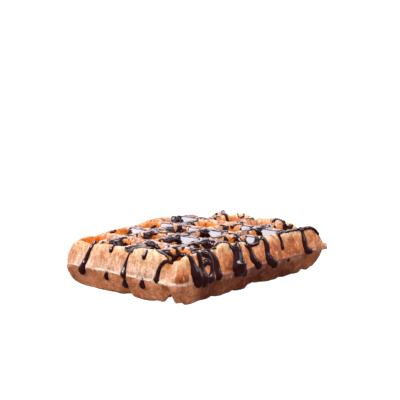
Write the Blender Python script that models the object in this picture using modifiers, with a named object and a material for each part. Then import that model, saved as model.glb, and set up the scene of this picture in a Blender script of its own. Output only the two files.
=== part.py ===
"""Chocolate waffle: a thick baked waffle with deep square pockets on both faces, and
chocolate sauce run over it in strands, pools and drips, fused to the crust as one solid.

Metres, +Z up. X runs along the long side and Y along the short side. The origin is at
the middle of the footprint, on the plane that the underside rests on.
"""

import math

import bmesh
import bpy
from mathutils import Matrix, Vector, noise
from mathutils.bvhtree import BVHTree

# Driving dimensions of the baked body
LENGTH = 0.135
WIDTH = 0.108
HEIGHT = 0.0297
SEAM_HEIGHT = 0.0142
SIDE_DRAFT = 0.0048
POCKETS_LONG = 5
POCKETS_SHORT = 4
RIM = 0.0073
RIB = 0.0058
UPPER_POCKET_DEPTH = 0.0130
LOWER_POCKET_DEPTH = 0.0100
POCKET_DRAFT = 0.0022
# Cage loops this far inside a pocket's walls keep its corners nearly square
POCKET_CORNER = 0.0026

# The thin flash that the iron squeezes out where its two plates meet
FLASH_REACH = 0.0013
FLASH_HALF_THICKNESS = 0.0009

# Subdivision draws the cage in at its edges by this much, so the cage starts larger
ROUNDING = 0.0005
EDGE_BAND = 0.0034
WAVE_DEPTH = 0.0110
UNEVENNESS = 0.00035
UNEVEN_SCALE = 90.0

# By the signs of X and Y, each corner's plan radius, how far it stands out, and how far its
# upper and lower half swell
CORNERS = {
    (-1, -1): (0.0080, 0.0008, 0.0003, 0.0003),
    (-1, 1): (0.0085, 0.0006, 0.0012, 0.0023),
    (1, -1): (0.0020, 0.0047, 0.0010, 0.0),
    (1, 1): (0.0070, 0.0, 0.0006, 0.0006),
}
CORNER_REACH = 0.0070

# How the batter filled the iron at its edge. Each row is a place along the side, its
# half width, the rise of the top edge and of the underside's edge, and a groove's depth
FRONT_LEFT_EDGE = (
    (0.0300, 0.0090, -0.0020, 0.0000, 0.0006),
    (0.0450, 0.0070, -0.0012, 0.0010, 0.0000),
    (0.0060, 0.0060, 0.0000, 0.0006, -0.0004),
    (-0.0045, 0.0035, -0.0024, 0.0022, 0.0012),
    (-0.0230, 0.0110, 0.0024, 0.0000, -0.0008),
    (-0.0310, 0.0060, 0.0000, 0.0016, 0.0000),
    (-0.0420, 0.0030, -0.0056, 0.0000, 0.0014),
    (-0.0402, 0.0034, 0.0000, 0.0070, 0.0003),
    (-0.0505, 0.0050, -0.0016, 0.0018, -0.0008),
)
FRONT_RIGHT_EDGE = (
    (-0.0610, 0.0050, -0.0012, 0.0014, -0.0006),
    (-0.0430, 0.0080, 0.0000, 0.0008, 0.0000),
    (-0.0340, 0.0030, -0.0006, 0.0010, 0.0010),
    (-0.0225, 0.0055, 0.0022, 0.0008, -0.0008),
    (-0.0150, 0.0030, 0.0000, 0.0008, 0.0012),
    (-0.0005, 0.0030, -0.0010, 0.0012, 0.0012),
    (0.0065, 0.0050, -0.0036, 0.0040, -0.0006),
    (0.0145, 0.0026, 0.0004, 0.0006, 0.0012),
    (0.0215, 0.0050, -0.0006, 0.0006, -0.0006),
    (0.0295, 0.0030, 0.0002, 0.0008, 0.0008),
    (0.0400, 0.0080, -0.0004, 0.0008, -0.0006),
    (0.0530, 0.0030, -0.0004, 0.0020, 0.0010),
    (0.0620, 0.0040, -0.0004, 0.0022, 0.0000),
)
BACK_LEFT_EDGE = (
    (-0.0580, 0.0060, -0.0022, 0.0010, 0.0000),
    (-0.0430, 0.0060, -0.0018, 0.0000, 0.0000),
    (-0.0350, 0.0030, -0.0006, 0.0006, 0.0010),
    (-0.0100, 0.0030, -0.0004, 0.0010, 0.0012),
    (0.0120, 0.0110, 0.0019, 0.0004, -0.0006),
    (0.0300, 0.0030, 0.0000, 0.0014, 0.0012),
    (0.0450, 0.0060, -0.0006, 0.0006, -0.0004),
)
BACK_RIGHT_EDGE = (
    (0.0310, 0.0060, 0.0014, 0.0006, -0.0006),
    (0.0225, 0.0026, -0.0008, 0.0014, 0.0012),
    (0.0105, 0.0065, 0.0019, 0.0004, -0.0006),
    (-0.0006, 0.0026, -0.0006, 0.0020, 0.0014),
    (-0.0180, 0.0080, 0.0014, 0.0004, -0.0006),
    (-0.0395, 0.0048, -0.0028, 0.0016, 0.0012),
)
# A corner of the iron that the batter hardly reached: plan place, radius, drop
SHORT_FILLED_CORNER = (0.0615, 0.0475, 0.0078, 0.0075)

# Flash left standing at the right-hand corner: place, length, width, thickness
FLASH_SPIKE = (0.06514, -0.05234, 0.0160, 0.0090, 0.0064, 0.0044)

# Sauce on the sides, as (along the side, height, half width) from the top down
FRONT_LEFT_DRIPS = (
    ((0.0275, 0.0296, 0.0011), (0.0301, 0.0235, 0.0013), (0.0311, 0.0184, 0.0017),
     (0.0330, 0.0145, 0.0024), (0.0350, 0.0110, 0.0032)),
    ((-0.0105, 0.0296, 0.0014), (-0.0068, 0.0262, 0.0013), (-0.0053, 0.0214, 0.0017),
     (-0.0050, 0.0172, 0.0022), (-0.0052, 0.0144, 0.0029)),
    ((-0.0415, 0.0262, 0.0012), (-0.0378, 0.0262, 0.0014), (-0.0353, 0.0214, 0.0014),
     (-0.0347, 0.0173, 0.0018), (-0.0343, 0.0154, 0.0028)),
    ((0.0074, 0.0298, 0.0012), (0.0089, 0.0270, 0.0019)),
    ((-0.0238, 0.0312, 0.0010), (-0.0222, 0.0272, 0.0023)),
    ((0.0105, 0.0135, 0.0012), (0.0115, 0.0099, 0.0025)),
    ((-0.0049, 0.0122, 0.0008), (-0.0034, 0.0072, 0.0029)),
    ((-0.0223, 0.0137, 0.0016), (-0.0219, 0.0103, 0.0031)),
)
FRONT_RIGHT_DRIPS = (
    ((-0.0540, 0.0298, 0.0013), (-0.0525, 0.0260, 0.0022), (-0.0521, 0.0213, 0.0034),
     (-0.0510, 0.0166, 0.0044), (-0.0500, 0.0135, 0.0038)),
    ((-0.0456, 0.0294, 0.0014), (-0.0457, 0.0231, 0.0017), (-0.0463, 0.0188, 0.0022),
     (-0.0455, 0.0150, 0.0041), (-0.0446, 0.0112, 0.0024)),
    ((-0.0420, 0.0292, 0.0013), (-0.0380, 0.0270, 0.0016), (-0.0367, 0.0233, 0.0017),
     (-0.0383, 0.0165, 0.0022), (-0.0400, 0.0140, 0.0034)),
    ((-0.0360, 0.0296, 0.0014), (-0.0323, 0.0239, 0.0020), (-0.0327, 0.0176, 0.0025),
     (-0.0327, 0.0138, 0.0031)),
    ((-0.0430, 0.0213, 0.0013), (-0.0395, 0.0213, 0.0013)),
    ((-0.0195, 0.0299, 0.0012), (-0.0160, 0.0272, 0.0017), (-0.0145, 0.0246, 0.0022)),
    ((-0.0105, 0.0299, 0.0014), (-0.0118, 0.0262, 0.0034), (-0.0131, 0.0206, 0.0044),
     (-0.0142, 0.0172, 0.0060), (-0.0142, 0.0156, 0.0070)),
    ((-0.0112, 0.0145, 0.0036), (-0.0083, 0.0108, 0.0019)),
    ((-0.0016, 0.0296, 0.0011), (0.0006, 0.0222, 0.0018), (0.0009, 0.0175, 0.0022),
     (0.0044, 0.0138, 0.0031)),
    ((0.0136, 0.0294, 0.0012), (0.0156, 0.0250, 0.0016), (0.0145, 0.0192, 0.0022),
     (0.0148, 0.0158, 0.0032), (0.0198, 0.0120, 0.0028)),
    ((0.0283, 0.0300, 0.0011), (0.0303, 0.0256, 0.0013), (0.0297, 0.0203, 0.0020)),
    ((0.0524, 0.0292, 0.0016), (0.0527, 0.0246, 0.0020), (0.0519, 0.0184, 0.0025),
     (0.0530, 0.0154, 0.0032), (0.0566, 0.0138, 0.0024)),
    ((0.0334, 0.0126, 0.0014), (0.0336, 0.0120, 0.0014)),
)
DRIP_FLATNESS = 0.62
# How much narrower and shorter than the strand its rounded end is
END_SHARE = 0.5

# Sauce over the top, as plan points that a strand runs through, and its half width
TOP_STRANDS = (
    (0.0010, (-0.0606, -0.0016), (-0.0554, -0.0023), (-0.0488, -0.0033), (-0.0440, -0.0036)),
    (0.0009, (-0.0608, -0.0022), (-0.0614, -0.0076), (-0.0616, -0.0166), (-0.0616, -0.0226),
     (-0.0614, -0.0262)),
    (0.0010, (-0.0508, -0.0015), (-0.0470, 0.0012), (-0.0416, 0.0030), (-0.0394, 0.0018),
     (-0.0395, -0.0030), (-0.0408, -0.0072), (-0.0414, -0.0115)),
    (0.0010, (-0.0335, -0.0030), (-0.0300, -0.0008), (-0.0268, -0.0020), (-0.0245, -0.0040)),
    (0.0010, (-0.0105, 0.0240), (-0.0114, 0.0211), (-0.0133, 0.0181)),
    (0.0013, (-0.0405, -0.0310), (-0.0350, -0.0280), (-0.0300, -0.0266), (-0.0262, -0.0274),
     (-0.0240, -0.0282)),
    (0.0012, (-0.0300, -0.0482), (-0.0355, -0.0450), (-0.0392, -0.0425), (-0.0402, -0.0386)),
    (0.0011, (-0.0165, 0.0450), (-0.0153, 0.0422), (-0.0142, 0.0395)),
    (0.0011, (0.0285, 0.0480), (0.0320, 0.0468), (0.0350, 0.0445)),
    (0.0012, (0.0205, 0.0255), (0.0217, 0.0224), (0.0246, 0.0205)),
    (0.0011, (-0.0006, 0.0258), (0.0000, 0.0240), (0.0008, 0.0224)),
    (0.0012, (-0.0172, -0.0325), (-0.0155, -0.0361), (-0.0119, -0.0375), (-0.0105, -0.0400)),
    (0.0014, (0.0630, 0.0310), (0.0600, 0.0281), (0.0574, 0.0240), (0.0565, 0.0212)),
    (0.0011, (0.0600, 0.0345), (0.0535, 0.0292), (0.0473, 0.0244), (0.0449, 0.0220)),
    (0.0009, (0.0620, 0.0160), (0.0598, 0.0130), (0.0600, 0.0083)),
    (0.0011, (0.0474, 0.0014), (0.0464, -0.0014), (0.0438, -0.0030)),
    (0.0013, (0.0400, -0.0262), (0.0470, -0.0235), (0.0540, -0.0208), (0.0600, -0.0188),
     (0.0614, -0.0222), (0.0606, -0.0268), (0.0588, -0.0300)),
    (0.0010, (0.0505, -0.0222), (0.0496, -0.0256), (0.0505, -0.0292)),
    (0.0010, (0.0300, -0.0262), (0.0335, -0.0280), (0.0352, -0.0305)),
    (0.0010, (0.0055, -0.0462), (0.0075, -0.0482), (0.0116, -0.0484), (0.0150, -0.0484)),
    (0.0010, (0.0300, -0.0484), (0.0340, -0.0478), (0.0370, -0.0487), (0.0420, -0.0484),
     (0.0476, -0.0488), (0.0526, -0.0487), (0.0560, -0.0490), (0.0608, -0.0500),
     (0.0640, -0.0511), (0.0654, -0.0524)),
    (0.0010, (0.0268, -0.0004), (0.0282, -0.0028), (0.0296, -0.0052)),
    (0.0010, (-0.0130, -0.0262), (-0.0158, -0.0300), (-0.0180, -0.0282), (-0.0168, -0.0255)),
    (0.0011, (-0.0085, -0.0250), (-0.0046, -0.0262), (0.0001, -0.0260), (0.0026, -0.0282)),
    (0.0010, (0.0220, -0.0255), (0.0280, -0.0245), (0.0315, -0.0275)),
    (0.0010, (0.0335, -0.0030), (0.0358, -0.0060), (0.0370, -0.0110)),
    (0.0011, (-0.0612, -0.0296), (-0.0616, -0.0331), (-0.0616, -0.0363), (-0.0608, -0.0388)),
    (0.0010, (-0.0225, -0.0010), (-0.0190, -0.0030), (-0.0150, -0.0045), (-0.0130, -0.0085)),
    (0.0013, (-0.0220, -0.0478), (-0.0180, -0.0486), (-0.0143, -0.0487), (-0.0115, -0.0486)),
    (0.0011, (-0.0455, 0.0223), (-0.0415, 0.0236), (-0.0400, 0.0205)),
    (0.0010, (-0.0540, 0.0215), (-0.0498, 0.0226), (-0.0453, 0.0219)),
    (0.0010, (-0.0615, 0.0205), (-0.0600, 0.0222), (-0.0575, 0.0232)),
    (0.0011, (0.0055, -0.0005), (0.0095, -0.0040), (0.0110, -0.0090), (0.0128, -0.0135)),
    (0.0011, (0.0085, -0.0235), (0.0108, -0.0280), (0.0112, -0.0325), (0.0135, -0.0360)),
    (0.0010, (0.0105, 0.0215), (0.0108, 0.0170), (0.0118, 0.0130)),
    (0.0010, (-0.0140, 0.0160), (-0.0142, 0.0120), (-0.0120, 0.0075)),
    (0.0010, (-0.0075, -0.0035), (-0.0035, -0.0010), (0.0000, -0.0018), (0.0018, 0.0010)),
    (0.0010, (-0.0385, -0.0150), (-0.0370, -0.0190), (-0.0385, -0.0235), (-0.0360, -0.0262)),
    (0.0010, (0.0370, -0.0200), (0.0385, -0.0235), (0.0365, -0.0275), (0.0385, -0.0320)),
    (0.0010, (0.0600, 0.0000), (0.0560, -0.0010), (0.0530, 0.0012)),
)

# Pockets that sauce fills, by their place along X and Y, and the depth left over it
FILLED_POCKETS = {
    (0, 0): 0.0080, (1, 0): 0.0068, (2, 0): 0.0074, (3, 0): 0.0070, (0, 1): 0.0060,
    (1, 1): 0.0040, (2, 1): 0.0072, (0, 2): 0.0075, (1, 2): 0.0070, (2, 2): 0.0066,
    (3, 3): 0.0058,
}

# Flat puddles on the ribs: plan middle, half lengths
PUDDLES = (
    (-0.0310, 0.0252, 0.0050, 0.0022), (0.0000, 0.0252, 0.0036, 0.0020),
    (0.0235, 0.0250, 0.0060, 0.0022), (-0.0300, -0.0244, 0.0080, 0.0024),
    (-0.0035, 0.0002, 0.0040, 0.0020), (0.0240, -0.0246, 0.0045, 0.0022),
    (0.0030, -0.0481, 0.0085, 0.0019),
    (-0.0126, 0.0400, 0.0024, 0.0050), (0.0126, 0.0360, 0.0024, 0.0050),
    (0.0378, 0.0390, 0.0024, 0.0060), (-0.0126, -0.0110, 0.0024, 0.0060),
    (0.0126, -0.0150, 0.0022, 0.0045), (0.0378, -0.0390, 0.0022, 0.0060),
)
# How ragged a puddle's edge is, how far it stands over the crust and reaches into it, and
# how much lower its edge may lie than its middle
PUDDLE_RAGGED = 0.22
PUDDLE_PROUD = 0.0006
PUDDLE_BELOW = 0.0016
PUDDLE_SAG = 0.0006
PUDDLE_SIDES = 20
# How much a strand's width varies, and how fast along it
WIDTH_CHANGE = 0.28
WIDTH_SCALE = 170.0
# How far a side of the crust may stand before or behind its plain drafted face
FACE_RANGE = 0.0024
# Share of a strand's half width that it sinks into what it lies on
STRAND_SUNK = 0.5
# How far a pool reaches below its pocket's floor, so that it fuses to it
POOL_ROOT = 0.0015

CRUST_LEVELS = 2
MOST_TRIANGLES = 11800
STRAND_STEP = 0.0030
SMALLEST_GAP = 0.0001
# Points this close to the plane of rest lie on it
FLAT_WITHIN = 0.0003

NOISE_SEED = 7


def clear_scene():
    for obj in list(bpy.data.objects):
        bpy.data.objects.remove(obj, do_unlink=True)


def new_collection(name):
    collection = bpy.data.collections.new(name)
    bpy.context.scene.collection.children.link(collection)
    return collection


def material(name, colour, roughness):
    made = bpy.data.materials.new(name)
    made.use_nodes = True
    shader = made.node_tree.nodes["Principled BSDF"]
    shader.inputs["Base Color"].default_value = (*colour, 1.0)
    shader.inputs["Roughness"].default_value = roughness
    shader.inputs["Metallic"].default_value = 0.0
    return made


def add_object(name, mesh, collection):
    obj = bpy.data.objects.new(name, mesh)
    collection.objects.link(obj)
    return obj


def mesh_from(bm, name):
    mesh = bpy.data.meshes.new(name)
    bm.to_mesh(mesh)
    bm.free()
    return mesh


def evaluated_mesh(obj):
    graph = bpy.context.evaluated_depsgraph_get()
    return bpy.data.meshes.new_from_object(obj.evaluated_get(graph), depsgraph=graph)


def pocket_spans(side, count):
    """Start and end of each pocket along a side, measured from the side's middle."""
    pitch = (side - 2 * RIM + RIB) / count
    starts = [RIM - side / 2 + place * pitch for place in range(count)]
    return [(start, start + pitch - RIB) for start in starts]


SPANS_LONG = pocket_spans(LENGTH, POCKETS_LONG)
SPANS_SHORT = pocket_spans(WIDTH, POCKETS_SHORT)


def smooth_step(low, high, value):
    share = min(max((value - low) / (high - low), 0.0), 1.0)
    return share * share * (3 - 2 * share)


def side_inset(height):
    """How far the side lies inside the footprint at a height: a draft each way from the seam."""
    if height >= SEAM_HEIGHT:
        return SIDE_DRAFT * (height - SEAM_HEIGHT) / (HEIGHT - SEAM_HEIGHT)
    return SIDE_DRAFT * (SEAM_HEIGHT - height) / SEAM_HEIGHT


def cut_cage(bm):
    """Loops along every pocket wall, and round the sides at the seam and near both faces."""
    inside = (0.0, POCKET_CORNER)
    cuts = []
    for step in inside:
        for start, end in SPANS_LONG:
            cuts += [((start + step, 0, 0), (1, 0, 0)), ((end - step, 0, 0), (1, 0, 0))]
        for start, end in SPANS_SHORT:
            cuts += [((0, start + step, 0), (0, 1, 0)), ((0, end - step, 0), (0, 1, 0))]
    heights = (
        EDGE_BAND, SEAM_HEIGHT - FLASH_HALF_THICKNESS, SEAM_HEIGHT,
        SEAM_HEIGHT + FLASH_HALF_THICKNESS, HEIGHT - EDGE_BAND,
    )
    cuts += [((0, 0, height), (0, 0, 1)) for height in heights]
    for point, normal in cuts:
        everything = bm.verts[:] + bm.edges[:] + bm.faces[:]
        bmesh.ops.bisect_plane(bm, geom=everything, plane_co=point, plane_no=normal, dist=1e-6)


def draft_sides(bm):
    for vert in bm.verts:
        at_seam = abs(vert.co.z - SEAM_HEIGHT) < SMALLEST_GAP
        inset = -FLASH_REACH if at_seam else side_inset(min(max(vert.co.z, 0.0), HEIGHT))
        if abs(abs(vert.co.x) - LENGTH / 2) < SMALLEST_GAP:
            vert.co.x -= math.copysign(inset, vert.co.x)
        if abs(abs(vert.co.y) - WIDTH / 2) < SMALLEST_GAP:
            vert.co.y -= math.copysign(inset, vert.co.y)


def in_pocket(centre):
    across = any(start < centre.x < end for start, end in SPANS_LONG)
    return across and any(start < centre.y < end for start, end in SPANS_SHORT)


def pocket_middle(x, y):
    """The middle of the pocket nearest to a plan place."""
    across = min(SPANS_LONG, key=lambda span: abs(sum(span) / 2 - x))
    along = min(SPANS_SHORT, key=lambda span: abs(sum(span) / 2 - y))
    return sum(across) / 2, sum(along) / 2


def sink_pockets(bm, facing, depth):
    """Extrudes the pocket faces that look along Z one way, in three steps that narrow."""
    steps = ((0.24, 0.30), (0.58, 0.45), (0.18, 0.25))
    half = (SPANS_LONG[0][1] - SPANS_LONG[0][0]) / 2
    faces = [
        face for face in bm.faces
        if face.normal.z * facing > 0.9 and in_pocket(face.calc_center_median())
    ]
    for share_of_depth, share_of_draft in steps:
        made = bmesh.ops.extrude_face_region(bm, geom=faces)["geom"]
        bmesh.ops.delete(bm, geom=faces, context="FACES")
        faces = [item for item in made if isinstance(item, bmesh.types.BMFace)]
        for vert in [item for item in made if isinstance(item, bmesh.types.BMVert)]:
            x, y = pocket_middle(vert.co.x, vert.co.y)
            narrower = 1 - POCKET_DRAFT * share_of_draft / half
            vert.co.x = x + (vert.co.x - x) * narrower
            vert.co.y = y + (vert.co.y - y) * narrower
            vert.co.z -= facing * depth * share_of_depth


def crust_cage():
    bm = bmesh.new()
    bmesh.ops.create_cube(bm, size=1.0)
    tall = HEIGHT + 2 * ROUNDING
    bmesh.ops.scale(bm, vec=(LENGTH, WIDTH, tall), verts=bm.verts)
    bmesh.ops.translate(bm, vec=(0, 0, HEIGHT / 2), verts=bm.verts)
    cut_cage(bm)
    draft_sides(bm)
    bm.normal_update()
    sink_pockets(bm, 1, UPPER_POCKET_DEPTH)
    sink_pockets(bm, -1, LOWER_POCKET_DEPTH)
    bmesh.ops.recalc_face_normals(bm, faces=bm.faces)
    return mesh_from(bm, "crust_cage")


def rounded_corner(point):
    """Bends the square plan at each corner into an arc, then draws the corner out."""
    signs = (-1 if point.x < 0 else 1, -1 if point.y < 0 else 1)
    radius, push, upper_swell, lower_swell = CORNERS[signs]
    across = abs(point.x) - (LENGTH / 2 - radius)
    along = abs(point.y) - (WIDTH / 2 - radius)
    bent = point.copy()
    if across > 0 and along > 0:
        shrink = max(across, along) / math.hypot(across, along)
        bent.x = signs[0] * (LENGTH / 2 - radius + across * shrink)
        bent.y = signs[1] * (WIDTH / 2 - radius + along * shrink)
    away = math.hypot(abs(point.x) - LENGTH / 2, abs(point.y) - WIDTH / 2)
    if point.z > SEAM_HEIGHT:
        share = min((point.z - SEAM_HEIGHT) / (HEIGHT - SEAM_HEIGHT), 1.0)
        push += upper_swell * 4 * share * (1 - share)
    else:
        share = min((SEAM_HEIGHT - point.z) / SEAM_HEIGHT, 1.0)
        push += lower_swell * 4 * share * (1 - share)
    outward = push * math.exp(-((away / CORNER_REACH) ** 2)) * math.sqrt(0.5)
    return bent + Vector((signs[0] * outward, signs[1] * outward, 0.0))


def edge_change(rows, place):
    """Rise of the top edge, rise of the underside's edge, and inward groove at a place."""
    total = [0.0, 0.0, 0.0]
    for middle, half_width, top_rise, base_rise, groove in rows:
        weight = math.exp(-(((place - middle) / half_width) ** 2))
        for index, amount in enumerate((top_rise, base_rise, groove)):
            total[index] += weight * amount
    return total


def wave_edges(point):
    """Lifts, drops and grooves the rim as the rows of each side say."""
    up = smooth_step(SEAM_HEIGHT, HEIGHT, point.z)
    down = smooth_step(SEAM_HEIGHT, 0.0, point.z)
    moved = point.copy()
    sides = (
        (FRONT_LEFT_EDGE, point.y, LENGTH / 2 + point.x, Vector((1, 0, 0))),
        (BACK_RIGHT_EDGE, point.y, LENGTH / 2 - point.x, Vector((-1, 0, 0))),
        (FRONT_RIGHT_EDGE, point.x, WIDTH / 2 + point.y, Vector((0, 1, 0))),
        (BACK_LEFT_EDGE, point.x, WIDTH / 2 - point.y, Vector((0, -1, 0))),
    )
    for rows, place, inward_distance, inward in sides:
        near = 1 - smooth_step(RIM, WAVE_DEPTH, inward_distance)
        if near <= 0:
            continue
        top_rise, base_rise, groove = edge_change(rows, place)
        outer = 1 - smooth_step(0.6 * RIM, RIM, inward_distance)
        off_seam = smooth_step(FLASH_HALF_THICKNESS, 4 * FLASH_HALF_THICKNESS,
                               abs(point.z - SEAM_HEIGHT))
        moved.z += near * (top_rise * up + base_rise * down)
        moved += inward * groove * outer * off_seam
    x, y, radius, drop = SHORT_FILLED_CORNER
    weight = math.exp(-(((point.x - x) ** 2 + (point.y - y) ** 2) / radius**2))
    moved.z -= drop * weight * up
    return moved


def uneven(point):
    """The slight unevenness of a baked batter."""
    offset = noise.noise_vector(point * UNEVEN_SCALE) * UNEVENNESS
    offset += noise.noise_vector(point * UNEVEN_SCALE * 3.1) * UNEVENNESS * 0.4
    return point + offset


def shape_crust(mesh):
    for vert in mesh.vertices:
        point = uneven(wave_edges(rounded_corner(vert.co)))
        point.z = max(point.z, 0.0)
        vert.co = point


def add_crust(collection, look):
    obj = add_object("crust_cage", crust_cage(), collection)
    smooth = obj.modifiers.new("Soft form", "SUBSURF")
    smooth.levels = CRUST_LEVELS
    smooth.render_levels = CRUST_LEVELS
    mesh = evaluated_mesh(obj)
    bpy.data.objects.remove(obj, do_unlink=True)
    shape_crust(mesh)
    crust = add_object("waffle", mesh, collection)
    crust.data.materials.clear()
    crust.data.materials.append(look)
    return crust


def apply_modifiers(obj):
    mesh = evaluated_mesh(obj)
    obj.modifiers.clear()
    obj.data = mesh


def tube(name, points, radii, collection, look):
    """A round-ended strand through the points, as a closed mesh."""
    curve = bpy.data.curves.new(name, "CURVE")
    curve.dimensions = "3D"
    curve.bevel_depth = 1.0
    curve.bevel_resolution = 1
    curve.use_fill_caps = True
    spline = curve.splines.new("POLY")
    spline.points.add(len(points) - 1)
    for knot, point, radius in zip(spline.points, points, radii):
        knot.co = (*point, 1.0)
        knot.radius = radius
    guide = add_object(name + "_guide", curve, collection)
    mesh = evaluated_mesh(guide)
    placing = guide.matrix_world.copy()
    bpy.data.objects.remove(guide, do_unlink=True)
    bm = bmesh.new()
    bm.from_mesh(mesh)
    bmesh.ops.remove_doubles(bm, verts=bm.verts, dist=1e-6)
    bmesh.ops.recalc_face_normals(bm, faces=bm.faces)
    bm.to_mesh(mesh)
    bm.free()
    strand = add_object(name, mesh, collection)
    strand.matrix_world = placing
    mesh.materials.clear()
    mesh.materials.append(look)
    return strand


def smooth_route(knots, step):
    """Points about a step apart on a smooth curve through the knots, each of equal size."""
    route = []
    for index in range(len(knots) - 1):
        before = knots[max(index - 1, 0)]
        start, end = knots[index], knots[index + 1]
        after = knots[min(index + 2, len(knots) - 1)]
        pieces = max(int(round((end - start).length / step)), 1)
        for piece in range(pieces):
            t = piece / pieces
            route.append(0.5 * (
                2 * start + (end - before) * t
                + (2 * before - 5 * start + 4 * end - after) * t**2
                + (3 * start - before - 3 * end + after) * t**3
            ))
    route.append(knots[-1])
    return route


def rounded_ends(points, radii):
    """Adds a small last ring beyond each end, so that a strand doesn't end square."""
    first = points[0] + (points[0] - points[1]).normalized() * radii[0] * END_SHARE
    last = points[-1] + (points[-1] - points[-2]).normalized() * radii[-1] * END_SHARE
    widths = [radii[0] * END_SHARE, *radii, radii[-1] * END_SHARE]
    return [first, *points, last], widths


def varied(half_width, point):
    return half_width * (1 + WIDTH_CHANGE * noise.noise(point * WIDTH_SCALE))


def side_face(tree, along_axis, place, height):
    """Where the crust's side is at a place along it and a height."""
    across, side = (0, LENGTH) if along_axis == "Y" else (1, WIDTH)
    plain = side_inset(min(max(height, 0.0), HEIGHT)) - side / 2
    start, inward = Vector((place, place, height)), Vector((0, 0, 0))
    start[across] = -side
    inward[across] = 1.0
    hit = tree.ray_cast(start, inward)[0]
    found = hit[across] if hit else plain
    return min(max(found, plain - FACE_RANGE), plain + FACE_RANGE)


def add_side_drips(name, drips, along_axis, tree, collection, look):
    """Sauce on one side: strands laid out flat, stood on the side and pressed flatter."""
    across = 0 if along_axis == "Y" else 1
    for index, drip in enumerate(drips):
        sheet = [Vector((place, height, half_width)) for place, height, half_width in drip]
        route = smooth_route(sheet, STRAND_STEP)
        points = []
        for knot in route:
            point = Vector((knot.x, knot.x, knot.y))
            point[across] = side_face(tree, along_axis, knot.x, knot.y)
            points.append(point)
        widths = [varied(knot.z, point) for knot, point in zip(route, points)]
        points, radii = rounded_ends(points, widths)
        strand = tube(f"{name}_{index}", points, radii, collection, look)
        for vert in strand.data.vertices:
            face = side_face(tree, along_axis, vert.co[1 - across], vert.co.z)
            vert.co[across] = face + (vert.co[across] - face) * DRIP_FLATNESS


def surface_height(tree, x, y):
    hit = tree.ray_cast(Vector((x, y, 2 * HEIGHT)), Vector((0, 0, -1)))[0]
    return hit.z if hit else SEAM_HEIGHT


def sauce_level(x, y):
    """Height of the pool at a plan place, or zero where no pool lies."""
    for place, depth in FILLED_POCKETS.items():
        start_x, end_x = SPANS_LONG[place[0]]
        start_y, end_y = SPANS_SHORT[place[1]]
        if start_x < x < end_x and start_y < y < end_y:
            return HEIGHT - depth
    return 0.0


def add_top_strands(tree, collection, look):
    for index, (half_width, *knots) in enumerate(TOP_STRANDS):
        route = smooth_route([Vector((x, y, 0.0)) for x, y in knots], STRAND_STEP)
        for point in route:
            point.z = max(surface_height(tree, point.x, point.y), sauce_level(point.x, point.y))
            point.z -= STRAND_SUNK * half_width
        points, radii = rounded_ends(route, [varied(half_width, point) for point in route])
        tube(f"strand_{index}", points, radii, collection, look)


def add_pools(collection, look):
    """Sauce standing in pockets: a block whose sides and base lie inside the crust."""
    for place, depth in FILLED_POCKETS.items():
        start_x, end_x = SPANS_LONG[place[0]]
        start_y, end_y = SPANS_SHORT[place[1]]
        low = HEIGHT - UPPER_POCKET_DEPTH - POOL_ROOT
        high = HEIGHT - depth
        bm = bmesh.new()
        bmesh.ops.create_cube(bm, size=1.0)
        size = (end_x - start_x, end_y - start_y, high - low)
        bmesh.ops.scale(bm, vec=size, verts=bm.verts)
        pool = add_object(f"pool_{place[0]}_{place[1]}", mesh_from(bm, "pool"), collection)
        pool.location = ((start_x + end_x) / 2, (start_y + end_y) / 2, (low + high) / 2)
        pool.data.materials.append(look)


def add_puddles(tree, collection, look):
    """Flat, ragged discs of sauce that lie on the ribs."""
    for index, (x, y, half_long, half_wide) in enumerate(PUDDLES):
        middle = surface_height(tree, x, y)
        bm = bmesh.new()
        ring = []
        for side in range(PUDDLE_SIDES):
            angle = 2 * math.pi * side / PUDDLE_SIDES
            across, along = math.cos(angle), math.sin(angle)
            wobble = noise.noise(Vector((2.2 * across, 2.2 * along, 5.0 * index)))
            size = (1 + PUDDLE_RAGGED * wobble) / (across**4 + along**4) ** 0.25
            plan = (x + size * half_long * across, y + size * half_wide * along)
            height = max(surface_height(tree, *plan), middle - PUDDLE_SAG)
            ring.append(bm.verts.new((*plan, height - PUDDLE_BELOW)))
        face = bm.faces.new(ring)
        made = bmesh.ops.extrude_face_region(bm, geom=[face])["geom"]
        for vert in [item for item in made if isinstance(item, bmesh.types.BMVert)]:
            vert.co.z += PUDDLE_PROUD + PUDDLE_BELOW
        bmesh.ops.triangulate(bm, faces=bm.faces)
        bmesh.ops.recalc_face_normals(bm, faces=bm.faces)
        puddle = add_object(f"puddle_{index}", mesh_from(bm, "puddle"), collection)
        puddle.data.materials.append(look)


def add_flash_spike(collection, look):
    x, y, z, length, width, thickness = FLASH_SPIKE
    bm = bmesh.new()
    bmesh.ops.create_cone(bm, cap_ends=True, segments=8, radius1=width / 2, radius2=width / 3,
                          depth=length)
    spike = add_object("flash_spike", mesh_from(bm, "flash_spike"), collection)
    lie_down = Matrix.Rotation(math.radians(90), 4, "Y")
    point_out = Matrix.Rotation(math.radians(-45), 4, "Z")
    flat = Matrix.Diagonal((1, 1, thickness / width, 1))
    spike.matrix_world = Matrix.Translation((x, y, z)) @ point_out @ flat @ lie_down
    spike.data.materials.append(look)


def fuse(body, collection):
    """One union joins the collection's shapes to the body, and then they are removed."""
    join = body.modifiers.new("Fused sauce", "BOOLEAN")
    join.operation = "UNION"
    join.operand_type = "COLLECTION"
    join.collection = collection
    join.solver = "MANIFOLD"
    join.material_mode = "TRANSFER"
    apply_modifiers(body)
    for obj in list(collection.objects):
        bpy.data.objects.remove(obj, do_unlink=True)
    bpy.data.collections.remove(collection)


def bodies(bm):
    """The vertices of each connected body."""
    found = []
    seen = set()
    for start in bm.verts:
        if start in seen:
            continue
        seen.add(start)
        body = [start]
        for vert in body:
            for edge in vert.link_edges:
                other = edge.other_vert(vert)
                if other not in seen:
                    seen.add(other)
                    body.append(other)
        found.append(body)
    return found


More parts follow.
